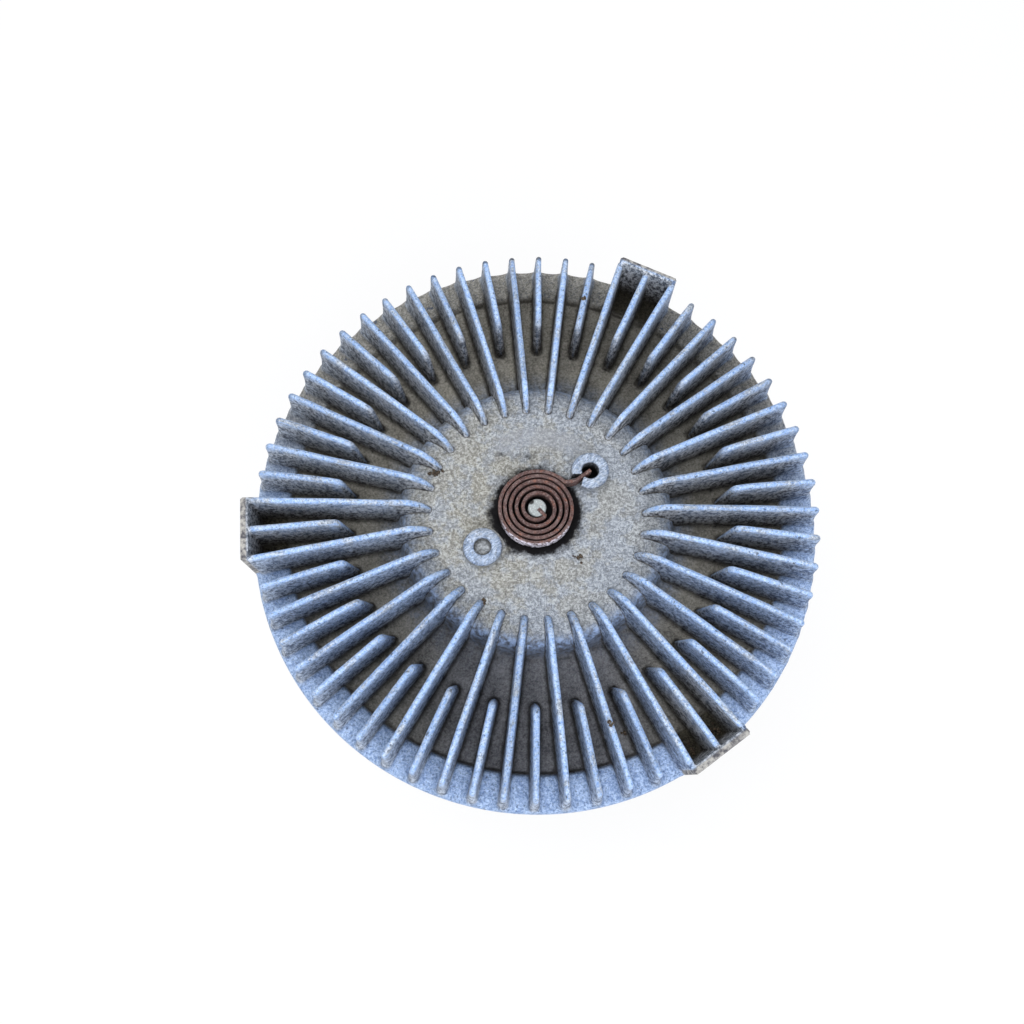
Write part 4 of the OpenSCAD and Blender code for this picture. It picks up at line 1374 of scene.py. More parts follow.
    def raise_fins(self, field: CoverField) -> None:
        """Lifts the points under the fins, and notes how far each one is from the nearest fin.

        Args:
            field: the points.
        """
        drops = np.random.default_rng(self.drop_seed).uniform(0.0, self.fin_drop, self.fins) * MM
        top = np.full_like(field.ground, self.fin_top)
        for step in (-1, 0, 1):
            fin = (field.owner + step) % self.fins
            away = field.angle - (self.first_lug + self.pitch * (field.owner + step))
            boxed = np.abs(self.lug_turn(self.first_lug + self.pitch * fin)) < 1.5 * self.pitch
            side = FinSide(
                along=field.radius * np.cos(away),
                aside=field.radius * np.sin(away),
                long=fin % 2 == 1,
                boxed=boxed,
                drop=np.where(boxed, 0.0, drops[fin]),
            )
            raised = highest(partial(self.fin_inside, field, side), field.ground, top)
            field.height = np.maximum(field.height, raised)
            begin = np.where(side.long, self.long_start - self.long_round, self.short_start)
            past = np.maximum(begin + self.root / 2 - side.along, 0.0)
            gap = np.maximum(np.hypot(past, side.aside) - self.root / 2, 0.0)
            field.clear = np.minimum(field.clear, gap)

    def raise_lugs(self, field: CoverField) -> None:
        """Lifts the points under the lugs' walls, and leaves the rim's edge low.

        Args:
            field: the points.
        """
        top = np.full_like(field.ground, self.top)
        raised = highest(partial(self.lug_inside, field), field.ground, top)
        field.height = np.maximum(field.height, raised)
        field.height[-1] = field.ground[-1]

    def surface(self, field: CoverField) -> Array:
        """Gives the points their places in space, uneven as a casting.

        Args:
            field: the points.

        Returns:
            The places, by row and column.
        """
        across = field.radius * np.cos(field.angle)
        away = field.radius * np.sin(field.angle)
        points = np.stack((across, away, field.height), axis=-1)
        flat = points.reshape(-1, 3)
        wobble = lumps(flat, 2.4 * MM, 3.0) * 0.11 * MM + lumps(flat, 11 * MM, 7.0) * 0.1 * MM
        flat[:, 2] = np.minimum(flat[:, 2] + wobble, self.top)
        lean = lumps(flat, 16 * MM, 21.0).reshape(field.angle.shape) * 0.16 * MM
        lean = lean * ease(field.lift, 1 * MM, 6 * MM)
        points[..., 0] -= np.sin(field.angle) * lean
        points[..., 1] += np.cos(field.angle) * lean
        return points

    def crest_mask(self, field: CoverField) -> Array:
        """Gives how far each point belongs to a fin's crest.

        Args:
            field: the points.

        Returns:
            The mask, from 0 to 1.
        """
        middle = np.arange(self.fins) * self.slot_columns + len(self.columns)
        profile = np.repeat(field.lift[:, middle], self.slot_columns, axis=1)
        near_top = ease(field.lift / np.maximum(profile, 0.3 * MM), 0.86, 0.99)
        tip = ease(field.radius, 97 * MM, 98.2 * MM)
        return near_top * ease(profile, 0.4 * MM, 2.2 * MM) * (1 - tip)

    def dirt_and_shade_mask(self, field: CoverField) -> Array:
        """Gives how much dirt and painted shade each point holds in corners and along the steps.

        Args:
            field: the points.

        Returns:
            The mask, from 0 to 1.
        """
        radius = field.radius
        # Painted shade with dirt: darker at the fins' feet, along the rim's step and at the foot of the
        # centre's wall.
        in_corner = np.exp(-field.clear / (0.9 * MM)) * np.exp(-field.lift / (4.5 * MM))
        in_corner = in_corner * ease(radius, 44 * MM, 52 * MM)
        low_down = field.lift < 4 * MM
        step_line = np.exp(-np.abs(radius - (self.band - self.step_run)) / (0.7 * MM)) * low_down
        wall_line = np.exp(-np.abs(radius - self.plateau - 2 * MM) / (1.8 * MM)) * low_down * 0.5
        hollow = np.maximum.reduce([in_corner, step_line, wall_line])
        return hollow * (1 - 0.85 * ease(radius, 89 * MM, 96 * MM))

    def masks(self, field: CoverField) -> dict[str, Array]:
        """Works out where flanks, crests, dirt, soot, painted shade and lugs lie.

        Args:
            field: the points.

        Returns:
            The masks by name.
        """
        radius = field.radius
        rise = np.clip(field.lift / (self.fin_top - field.ground), 0.0, 1.0)
        pale_nose = 0.85 * ease(rise, 0.0, 0.12) * (1 - ease(radius, 46 * MM, 57 * MM))
        north = ease(np.sin(field.angle), -0.1, 0.65)
        short = field.owner % 2 == 0
        # Painted shade: the nose slopes of the northern short fins are darkened and lose their crest colour.
        slope = short * (1 - ease(radius, 67.5 * MM, 72.5 * MM)) * ease(rise, 0.04, 0.2) * north
        # Painted shade: the fins' outer tips darken, most on the north.
        tip_dark = ease(radius, 94 * MM, 96.5 * MM) * ease(rise, 0.6, 0.85) * (0.3 + 0.7 * north)
        tip_dark = tip_dark * (1 - field.near_lug)
        along = radius * np.cos(field.turn)
        strip = np.where(np.sin(field.angle) > 0.5, 99.5, 98.6) * MM
        # Painted shade: the pockets between a lug's walls are darkened.
        boxed_in = 1 - ease(np.abs(field.turn), *self.box_span)
        sheltered = boxed_in * ease(radius, 68 * MM, 80 * MM) * (along < 99 * MM)
        shaded_pocket = sheltered * ease(radius, 80 * MM, 95 * MM) * (1 - ease(rise, 0.55, 0.95))
        # Painted shade: dark halos round the noses of the short fins.
        nose = np.exp(-np.abs(radius - self.short_start) / (1.8 * MM)) * np.exp(-field.clear / (1.4 * MM))
        return {
            "rise": np.maximum(rise, pale_nose),
            "crest": self.crest_mask(field) * (1 - 0.8 * slope),
            "hollow": np.maximum.reduce([self.dirt_and_shade_mask(field), 0.85 * shaded_pocket, 0.55 * slope, tip_dark]),
            "soot": nose * (rise < 0.75) * 0.6,
            "lug": ease(along, strip, strip + 0.6 * MM) * field.near_lug,
            "sheltered": sheltered,
        }

    def underside(self) -> Array:
        """Draws the outline from the rim's edge down the skirt, round the lip and back to the pin's hole.

        Returns:
            Radius and height, one pair per row.
        """
        skirt_foot = self.rim - self.skirt_lean
        skirt_in = skirt_foot - self.skirt_wall
        lip_in = skirt_in - self.lip_reach
        chamber = skirt_in - self.chamber_wall
        reservoir = self.plateau - self.reservoir_wall
        recess = reservoir + self.plate_ledge
        seat = self.lip + self.lip_thick
        joint = seat + self.joint_rise
        inner = self.floor - self.casting_wall
        land_tip = inner - self.land_height
        plate = inner + self.plate_recess
        ceiling = self.plateau_top - self.casting_wall
        bush_end = ceiling - self.bush_height
        corners = [
            (self.rim, self.edge - self.rim_round),
            (skirt_foot + self.skirt_lean / 2, (self.edge + self.lip) / 2),
            (skirt_foot, self.lip, 2.2 * MM),
            (lip_in, self.lip, 0.8 * MM),
            (lip_in, seat, 0.3 * MM),
            (skirt_in, seat),
            (skirt_in, joint),
            (chamber, joint, 0.3 * MM),
            (chamber, inner, 0.5 * MM),
        ]
        for land in reversed(range(self.lands)):
            start = self.first_land + self.land_pitch * land
            end = start + self.land_width
            corners += [(end, inner), (end, land_tip), (start, land_tip), (start, inner)]
        corners += [(recess, inner), (recess, plate), (reservoir, plate)]
        corners += [(reservoir, ceiling, 1 * MM), (self.bush, ceiling, 1 * MM), (self.bush, bush_end)]
        corners += [(self.pin_hole, bush_end), (self.pin_hole, self.plateau_top)]
        return rounded(corners, closed=False)

    def soot_and_shadow_round_coil(self, points: Array, wider: float = 1.0) -> Array:
        """Gives how much soot and painted shadow lie on each point of the raised centre.

        Args:
            points: the points.
            wider: what the reach of the soot and painted shadow is multiplied by.

        Returns:
            The mask, from 0 up.
        """
        away = np.maximum(np.hypot(points[:, 0], points[:, 1]) - 13.4 * MM, 0.0)
        turn = np.arctan2(points[:, 1], points[:, 0])
        left = np.maximum(np.cos(turn - math.radians(212)), 0.0)
        right = np.maximum(np.cos(turn - math.radians(335)), 0.0)
        north = np.maximum(np.sin(turn), 0.0)
        reach = (1.7 + 2.6 * left ** 2 + 1.6 * right ** 2 + 1.6 * north ** 2) * MM * wider
        across = ease(-np.abs(points[:, 0] + 5 * MM), -14 * MM, -10 * MM)
        drift = 2.4 * MM * lumps(points, 5 * MM, 12.0)
        smudge = across * np.exp(-((points[:, 1] - 20.6 * MM - drift) / (2.0 * MM)) ** 2)
        return np.maximum(1.3 * np.exp(-(away / reach) ** 1.2), 0.5 * smudge)

    def smooth_patch(self, points: Array) -> Array:
        """Gives where the casting above the coil is flat and smooth.

        Args:
            points: the points.

        Returns:
            The mask, from 0 to 1.
        """
        across = (points[:, 0] - 2 * MM) / (18 * MM)
        away = (np.hypot(points[:, 0], points[:, 1]) - 28 * MM) / (4.2 * MM)
        return (points[:, 1] > 0) * (1 - ease(np.maximum(np.abs(across), np.abs(away)), 0.75, 1.1))

    def boss_outline(self, depth: float) -> Array:
        """Draws a coil boss's section, from the hole's floor over the top to its foot.

        Args:
            depth: depth of the hole.

        Returns:
            Radius and height, one pair per row.
        """
        top = self.plateau_top + self.boss_height
        flare = self.boss + self.boss_flare
        corners = [
            (self.boss_hole, top - depth),
            (self.boss_hole, top, 0.9 * MM),
            (self.boss, top, 2.4 * MM),
            (self.boss, self.plateau_top + 0.1 * MM, 1.8 * MM),
            (flare, self.plateau_top - 0.05 * MM),
            (flare, self.plateau_top - 1 * MM),
        ]
        return rounded(corners, closed=False)

    def add_boss(self, shell: Shell, turn: float, depth: float, slotted: bool) -> None:
        """Adds a coil boss.

        Args:
            shell: mesh that takes it.
            turn: angle of the boss round the axis.
            depth: depth of its hole.
            slotted: whether a slot opens the hole towards the axis.
        """
        outline = self.boss_outline(depth)
        top = self.plateau_top + self.boss_height
        steps = self.boss_steps
        share = np.linspace(0, 1, steps + 1 if slotted else steps, endpoint=slotted)
        radius = outline[:, :1]
        mouth = self.boss_slot / 2 + self.slot_flare * ease(radius, self.boss_hole + 0.6 * MM, self.boss)
        gap = np.arcsin(np.clip(mouth / radius, 0, 1)) if slotted else np.zeros_like(radius)
        angle = turn + math.pi + gap + share[None, :] * (FULL_TURN - 2 * gap)
        centre = self.boss_place * heading(turn)
        across = centre[0] + radius * np.cos(angle)
        away = centre[1] + radius * np.sin(angle)
        height = np.broadcast_to(outline[:, 1:], across.shape)
        points = np.stack((across, away, height), axis=-1).reshape(-1, 3)
        points[:, 2] += lumps(points, 2.5 * MM, 5.0) * 0.08 * MM
        columns = across.shape[1]
        faces = strip_faces(len(outline), columns, closed=not slotted)
        if slotted:
            side = [row * columns for row in range(len(outline))]
            faces.append(side)
            faces.append([place + columns - 1 for place in reversed(side)])
        level = height.ravel()
        # Painted shade with dirt at the boss's foot.
        foot = np.exp(-(level - self.plateau_top) / (0.8 * MM)) * 0.4
        low = np.clip((top - 1.2 * MM - level) / (3 * MM), 0, 1)
        # Painted shade: the hole darkens below its mouth, most in the slotted boss.
        in_hole = np.broadcast_to(radius < self.boss_hole + 0.05 * MM, across.shape).ravel()
        soot = in_hole * low * (1.0 if slotted else 0.3)
        # Painted sky reflection: the boss's top takes part of the crests' pale blue.
        lifted = ease(level, top - 1.8 * MM, top - 0.4 * MM)
        shell.add(points, faces, rise=0.95 * lifted, crest=0.3 * lifted, hollow=foot, soot=soot)
        dish, dish_faces = pierced(Loop(*centre, self.boss_hole, steps), [], top - depth, 0.9 * MM)
        middle = np.hypot(dish[:, 0] - centre[0], dish[:, 1] - centre[1])
        drilled = middle < 0.3 * MM
        dish[:, 2] -= 0.5 * MM * drilled
        # Painted shade: the hole's floor is darkened, black in the slotted boss.
        dirt = np.clip(0.48 + (middle - 1.8 * MM) / (3 * MM), 0.42, 1) + drilled
        shell.add(dish, dish_faces, hollow=dirt, soot=1.0 if slotted else 0.0)

    def build(self) -> Object:
        """Builds the whole cover as one object.

        Returns:
            The new object.
        """
        shell = Shell("rise", "crest", "hollow", "soot", "lug", "smooth", "sheltered", "skirt")
        field = self.lay_out()
        self.raise_fins(field)
        self.raise_lugs(field)
        points = self.surface(field)
        rows, columns = points.shape[:2]
        masks = {name: mask.ravel() for name, mask in self.masks(field).items()}
        first = shell.add(points.reshape(-1, 3), strip_faces(rows, columns), **masks)
        picked = np.arange(0, columns, self.coarse)
        few = len(picked)
        inner_angles, outer_angles = (np.arctan2(row[picked, 1], row[picked, 0]) for row in points[[0, -1]])
        inner_ring = self.centre_ring - 0.8 * MM
        inner = shell.add(level_points(inner_ring, inner_angles, self.plateau_top), [])
        turns = [level_points(radius, outer_angles, height) for radius, height in self.underside()[1:]]
        skirt_points = np.concatenate(turns)
        above_lip = skirt_points[:, 2] > self.lip + 3 * MM
        skirt_points[:, 2] += lumps(skirt_points, 9 * MM, 2.0) * 0.05 * MM * above_lip
        skirt = shell.add(skirt_points, strip_faces(len(turns), few), hollow=0.12, skirt=1.0)
        last_row = first + (rows - 1) * columns
        for step in range(few):
            after = (step + 1) % few
            run = [place % columns for place in range(step * self.coarse, (step + 1) * self.coarse + 1)]
            shell.faces.append([first + place for place in run] + [inner + after, inner + step])
            shell.faces.append([last_row + place for place in reversed(run)] + [skirt + step, skirt + after])
        self.add_plateau(shell, inner_angles, inner_ring)
        self.add_boss(shell, self.boss_angle, self.held_depth, True)
        self.add_boss(shell, self.boss_angle + math.pi, self.spare_depth, False)
        return shell.build("finned_cover_casting", sharp=55.0)

    def add_plateau(self, shell: Shell, angles: Array, radius: float) -> None:
        """Adds the top of the raised centre, with the holes for the pin and the coil's end.

        Args:
            shell: mesh that takes it.
            angles: angles of the points on its outer edge.
            radius: radius of that edge.
        """
        held = self.boss_place * heading(self.boss_angle)
        holes = [Loop(0, 0, self.pin_hole, len(angles)), Loop(*held, self.boss_hole, self.boss_steps)]
        rim = Loop(0, 0, radius - 2 * MM, 180)
        points, faces = pierced(rim, holes, self.plateau_top, 1.5 * MM)
        points[:, 2] += lumps(points, 4 * MM, 3.0) * 0.06 * MM + lumps(points, 11 * MM, 7.0) * 0.1 * MM
        soot = self.soot_and_shadow_round_coil(points)
        # Painted shadow: a wider, fainter dark halo round the coil.
        shadow_halo = 0.5 * self.soot_and_shadow_round_coil(points, 2.2)
        shell.add(points, faces, soot=soot, hollow=shadow_halo, smooth=self.smooth_patch(points))
        edge = level_points(radius, angles, self.plateau_top)
        self.bridge(shell, edge, ring_points(rim.radius, rim.count, self.plateau_top))

    def bridge(self, shell: Shell, outer: Array, inner: Array) -> None:
        """Closes the ring between two circles of different counts.

        Args:
            shell: mesh that takes the faces.
            outer: points of the outer circle.
            inner: points of the inner circle.
        """
        flat = [Vector(point[:2]) for point in (*outer, *inner)]
        edges = [(step, (step + 1) % len(outer)) for step in range(len(outer))]
        edges += [(len(outer) + step, len(outer) + (step + 1) % len(inner)) for step in range(len(inner))]
        found = delaunay_2d_cdt(flat, edges, [], 1, 1e-7)
        points = np.array([(point.x, point.y, self.plateau_top) for point in found[0]])
        limit = np.hypot(*inner[0][:2]) * 0.9995
        faces = [list(face) for face in found[2] if np.hypot(*points[list(face)].mean(axis=0)[:2]) > limit]
        shell.add(points, faces, soot=0.0)

    def dress(self, shelf: EffectShelf) -> None:
        """Builds and dresses the cover, which rides on the housing."""
        self.hang(shelf, CoverCasting(), "housing", "cover_casting", "finned_cover")


@dataclass
class BimetalCoil:
    """Spiral strip between the valve pin and the slotted boss."""

    low: float
    high: float
    strip: float = 1.25 * MM
    edge_round: float = 0.35 * MM
    pin: float = 3.175 * MM
    outer: float = 13.6 * MM
    slack: float = 0.2 * MM
    lead: float = 0.2
    tang_start: float = 0.6 * MM
    tang_angle: float = math.radians(-45)
    boss_angle: float = math.radians(37)
    boss_place: float = 23.4 * MM
    boss: float = 6.75 * MM
    leave: float = math.radians(8)
    turns: int = 4
    steps: int = 420

    @classmethod
    def from_frame(cls) -> "BimetalCoil":
        """Takes the strip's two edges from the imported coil."""
        low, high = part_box("bimetal_coil")
        return cls(low=low.z, high=high.z)

    def path(self) -> Array:
        """Draws the strip's middle line, from the pin outwards.

        Returns:
            The level places along it, one per row.
        """
        inner = self.pin + self.strip / 2 + self.slack
        sweep = FULL_TURN * (self.turns + 1) + self.tang_angle - (self.boss_angle + self.leave)
        share = np.linspace(0, 1, self.steps)
        radius = inner + (self.outer - inner) * share * (1 + self.lead - self.lead * share)
        angle = self.tang_angle - sweep * share
        spiral = np.stack((radius * np.cos(angle), radius * np.sin(angle)), axis=1)
        towards = heading(self.boss_angle)
        start = self.tang_start * heading(self.tang_angle)
        kink = (self.boss_place - self.boss - self.slack) * towards
        end = self.boss_place * towards
        lead_in = [start + (spiral[0] - start) * part for part in (0.0, 0.3, 0.6)]
        bend = [(spiral[-1] * (1 - part) + kink * part) for part in (0.35, 0.7)]
        tail = [kink + (end - kink) * part for part in (0.08, 0.4, 0.7, 1.0)]
        return np.array([*lead_in, *spiral, *bend, *tail])

    def section(self) -> Array:
        """Draws the strip's rounded section.

        Returns:
            Distance aside and height, one pair per row.
        """
        half = self.strip / 2
        middle = (self.low + self.high) / 2
        tall = (self.high - self.low) / 2
        corners = [(-half, -tall), (half, -tall), (half, tall), (-half, tall)]
        outline = rounded([(*corner, self.edge_round) for corner in corners])[:-1]
        return outline + np.array([0.0, middle])

    def build(self) -> tuple[Object, Array]:
        """Builds the strip.

        Returns:
            The object, and how far along the strip each of its points lies, from 0 at the boss
            to 1 at the pin.
        """
        path = self.path()
        course = np.gradient(path, axis=0)
        course /= np.linalg.norm(course, axis=1)[:, None]
        aside = np.stack((-course[:, 1], course[:, 0]), axis=1)
        section = self.section()
        lengths = np.concatenate(([0.0], np.cumsum(np.linalg.norm(np.diff(path, axis=0), axis=1))))
        flat = path[:, None, :] + aside[:, None, :] * section[None, :, :1]
        height = np.broadcast_to(section[None, :, 1:], (*flat.shape[:2], 1))
        points = np.concatenate((flat, height), axis=2).reshape(-1, 3)
        rough = lumps(points, 1.4 * MM, 9.0) * 0.07 * MM
        points += np.stack((rough, lumps(points, 1.7 * MM, 4.0) * 0.05 * MM, rough), axis=1)
        points[:, 2] = np.clip(points[:, 2], self.low, self.high)
        count = len(section)
        faces = strip_faces(len(path), count)
        faces.append(list(range(count)))
        faces.append([len(points) - 1 - place for place in range(count)])
        distance = np.hypot(points[:, 0], points[:, 1])
        tall = self.high - self.low
        shaded = np.clip((self.high - 0.7 * MM - points[:, 2]) / (0.5 * tall), 0, 1) * (distance < self.outer)
        outward = ease(distance - np.repeat(np.hypot(path[:, 0], path[:, 1]), count), 0.2 * MM, 0.55 * MM)
        last_turn = np.repeat(lengths > lengths[-1] - FULL_TURN * self.outer, count)
        crust = outward * last_turn * ease(-points[:, 1], 4 * MM, 9 * MM)
        shell = Shell("shaded", "crust", "along")
        along = np.repeat(1 - lengths / lengths[-1], count)
        shell.add(points, faces, shaded=shaded, crust=crust, along=along)
        made = shell.build("bimetal_coil_strip")
        shares = np.zeros(len(made.data.vertices), np.float32)
        made.data.attributes["along"].data.foreach_get("value", shares)
        return made, shares

    def dress(self, shelf: EffectShelf) -> None:
        """Builds and dresses the strip, which winds up between the boss and the pin.

        Args:
            shelf: the shared effects.
        """
        made, shares = self.build()
        RustedStrip().dress(shelf, made)
        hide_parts("bimetal_coil")
        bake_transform(made)
        log.info("%s bends from housing to valve", made.name)


@dataclass
class RearBody(SubAssembly):
    """Cast rear half: bearing hub, fan pilot, tapped fan pads, ribs and cooling fins."""

    low: float
    high: float
    outside: float
    hub_bore: float = 18.5 * MM
    hub: float = 31 * MM
    pilot: float = 48 * MM
    pilot_wall: float = 5 * MM
    pilot_root: float = 2.5 * MM
    bearing: float = 26.02 * MM
    bearing_back: float = 3 * MM
    wall_radius: float = 90.9 * MM
    chamber: float = 86.5 * MM
    rim_thick: float = 8 * MM
    rim_rise: float = 4.8 * MM
    wall: float = 6.5 * MM
    seat_rise: float = 5 * MM
    step_rise: float = 6 * MM
    fin_rise: float = 7 * MM
    pads: int = 4
    pad: float = 11 * MM
    pad_place: float = 60 * MM
    pad_turn: float = math.radians(45)
    pad_flare: float = 2.5 * MM
    pad_steps: int = 64
    hole: float = 3.4 * MM
    hole_edge: float = 0.6 * MM
    hole_depth: float = 14 * MM
    thread_pitch: float = 1.25 * MM
    thread_depth: float = 0.5 * MM
    fins: int = 36
    fin_crest: float = 2.4 * MM
    fin_root: float = 3.6 * MM
    fin_end_gap: float = 1.5 * MM
    ribs: int = 8
    rib: float = 4 * MM
    rib_inset: float = 3 * MM
    rib_overlap: float = 2.5 * MM
    steps: int = 240

    @classmethod
    def from_frame(cls) -> "RearBody":
        """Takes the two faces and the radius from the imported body."""
        low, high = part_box("rear_body")
        return cls(low=low.z, high=high.z, outside=high.x)

    def __post_init__(self) -> None:
        """Works out the levels that the sizes give."""
        self.face = self.high - self.rim_rise
        self.wall_back = self.face - self.wall
        self.seat = self.low + self.seat_rise
        self.step = self.low + self.step_rise
        self.fin_back = self.low + self.fin_rise
        self.pilot_foot = self.pilot + self.pilot_root

    def add_shell(self, shell: Shell) -> None:
        """Adds the turned form of the casting.

        Args:
            shell: mesh that takes it.
        """
        pilot_in = self.pilot - self.pilot_wall
        rim_back = self.high - self.rim_thick
        bearing_seat = self.low + self.bearing_back
        soft = 1.2 * MM
        fine = 0.5 * MM
        outline = rounded([
            (self.hub_bore, self.low, fine),
            (self.hub, self.low, soft),
            (self.hub, self.wall_back, 2 * MM),
            (pilot_in, self.wall_back, 2 * MM),
            (pilot_in, self.low, fine),
            (self.pilot, self.low, 0.8 * MM),
            (self.pilot, self.step, fine),
            (self.pilot_foot, self.step, 1 * MM),
            (self.pilot_foot, self.wall_back, 2 * MM),
            (self.wall_radius, self.wall_back, 1 * MM),
            (self.wall_radius, rim_back, fine),
            (self.outside, rim_back, fine),
            (self.outside, self.high, fine),
            (self.chamber, self.high, fine),
            (self.chamber, self.face, soft),
            (self.bearing, self.face, fine),
            (self.bearing, bearing_seat, fine),
            (self.hub_bore, bearing_seat, fine),
        ])
        points, faces = turned(outline, self.steps)
        radius = np.hypot(points[:, 0], points[:, 1])
        cast = (points[:, 2] > self.low + 0.6 * MM) & (points[:, 2] < self.face - 1 * MM)
        cast &= (radius < self.pilot - 0.3 * MM) | (radius > self.pilot_foot - 0.3 * MM)
        points[:, 2] += lumps(points, 7 * MM, 1.0) * 0.08 * MM * cast * (radius < self.wall_radius - 1 * MM)
        # Painted shade with dirt: darker where the back wall meets the hub and the pilot.
        corner = np.exp(-np.abs(points[:, 2] - self.wall_back) / (2.5 * MM)) * 0.6
        near = np.minimum.reduce([np.abs(radius - place) for place in (self.hub, pilot_in, self.pilot_foot)])
        hollow = corner * (0.35 + 0.65 * np.exp(-near / (2.5 * MM)))
        shell.add(points, faces, machined=1.0 - cast, hollow=hollow * cast)

    def add_pad(self, shell: Shell, turn: float) -> None:
        """Adds a fan pad with its tapped hole.

        Args:
            shell: mesh that takes it.
            turn: angle of the pad round the axis.
        """
        centre = self.pad_place * heading(turn)
        mouth = self.hole + self.hole_edge
        flare = self.pad + self.pad_flare
        corners = [
            (mouth, self.seat),
            (self.pad, self.seat, 0.9 * MM),
            (self.pad, self.wall_back, 2.2 * MM),
            (flare, self.wall_back + 0.05 * MM),
            (flare, self.wall_back + 1 * MM),
        ]
        outline = rounded(corners, closed=False)
        points, faces = turned(outline, self.pad_steps, centre)
        on_seat = points[:, 2] < self.seat + 0.25 * MM
        # Painted shade with dirt at the pad's foot.
        foot = np.exp(-np.abs(points[:, 2] - self.wall_back) / (2 * MM)) * 0.5
        shell.add(points, faces, machined=on_seat, hollow=foot * ~on_seat)
        depth = np.linspace(0, self.hole_depth, 90)
        angle = np.arange(self.pad_steps) * FULL_TURN / self.pad_steps
        wave = (depth[:, None] / self.thread_pitch + angle[None, :] / FULL_TURN) % 1.0
        deep = self.thread_depth * ease(depth, 0.4 * MM, 1.2 * MM)[:, None]
        ridge = deep * (1 - np.abs(2 * wave - 1))
        lead = self.hole_edge * (1 - np.clip(depth / self.hole_edge, 0, 1))[:, None]
        radius = self.hole + lead + ridge * 0.8 - deep * 0.2
        height = np.broadcast_to((self.seat + depth)[:, None], radius.shape)
        across = centre[0] + radius * np.cos(angle)[None, :]
        away = centre[1] + radius * np.sin(angle)[None, :]
        bore = np.stack((across, away, height), axis=-1).reshape(-1, 3)
        bore_faces = strip_faces(len(depth), len(angle))
        bore_faces.append([(len(depth) - 1) * len(angle) + step for step in range(len(angle))])
        # Painted shade: the tapped hole darkens with depth.
        dark = np.repeat(np.clip(depth / self.hole_depth, 0, 1), len(angle)) * 0.7
        shell.add(bore, bore_faces, machined=0.8, hollow=dark)

    def add_rib(
        self, shell: Shell, turn: float, start: float, end: float, back: float, root: float, crest: float
    ) -> None:
        """Adds a straight rib with a drafted, rounded section.

        Args:
            shell: mesh that takes it.
            turn: angle of the rib round the axis.
            start: radius where it begins.
            end: radius where it ends.
            back: height of its crest.
            root: thickness at its root.
            crest: thickness at its crest.
        """
        corners = 12
        round_ = crest * 0.45
        fillet = 1.2 * MM
        base = self.wall_back
        levels = [(base + 0.8 * MM, root / 2 + fillet)]
        for lift in np.linspace(0, fillet, 5):
            levels.append((base - lift, root / 2 + round_off(fillet, fillet - lift)))
        levels.append((back + round_, crest / 2))
        for bend in np.arange(1, 5) * math.pi / 8:
            levels.append((back + round_ * (1 - math.sin(bend)), crest / 2 - round_ * (1 - math.cos(bend))))
        rings: list[Array] = []
        for height, half in levels:
            near = start + crest / 2
            far = end - crest / 2
            sweep = np.linspace(-math.pi / 2, math.pi / 2, corners)
            tip = np.stack((far + half * np.cos(sweep), half * np.sin(sweep)), axis=1)
            butt = np.stack((near - half * np.cos(sweep), -half * np.sin(sweep)), axis=1)
            flat = np.concatenate((tip, butt))
            rings.append(np.column_stack((flat, np.full(len(flat), height))))
        points = np.concatenate(rings)
        points[:, 1] += lumps(points, 14 * MM, turn * 9) * 0.1 * MM
        spin = np.array(Matrix.Rotation(turn, 3, "Z"))
        points = points @ spin.T
        count = 2 * corners
        faces = strip_faces(len(levels), count)
        faces.append([(len(levels) - 1) * count + step for step in range(count)])
        # Painted shade with dirt at the rib's foot.
        hollow = np.exp(-(base - points[:, 2]) / (3 * MM)) * 0.55
        shell.add(points, faces, hollow=np.clip(hollow, 0, 1))

    def build(self) -> Object:
        """Builds the whole body as one object.

        Returns:
            The new object.
        """
        shell = Shell("machined", "hollow")
        self.add_shell(shell)
        clear = math.asin((self.pad + self.fin_root) / self.pad_place)
        sector = FULL_TURN / self.pads
        for number in range(self.pads):
            self.add_pad(shell, self.pad_turn + sector * number)
        for number in range(self.fins):
            turn = FULL_TURN * number / self.fins
            off = (turn - self.pad_turn + sector / 2) % sector - sector / 2
            if abs(off) > clear:
                start = self.pilot_foot - self.fin_end_gap
                end = self.wall_radius - self.fin_end_gap
                self.add_rib(shell, turn, start, end, self.fin_back, self.fin_root, self.fin_crest)
        for number in range(self.ribs):
            turn = FULL_TURN * (number + 0.5) / self.ribs
            start = self.hub - self.rib_overlap
            end = self.pilot - self.pilot_wall + self.rib_overlap
            self.add_rib(shell, turn, start, end, self.low + self.rib_inset, self.rib, self.rib * 0.85)
        return shell.build("rear_body_casting", sharp=45.0)

    def dress(self, shelf: EffectShelf) -> None:
        """Builds and dresses the body, which rides on the housing."""
        self.hang(shelf, BodyCasting(), "housing", "body_casting", "rear_body")


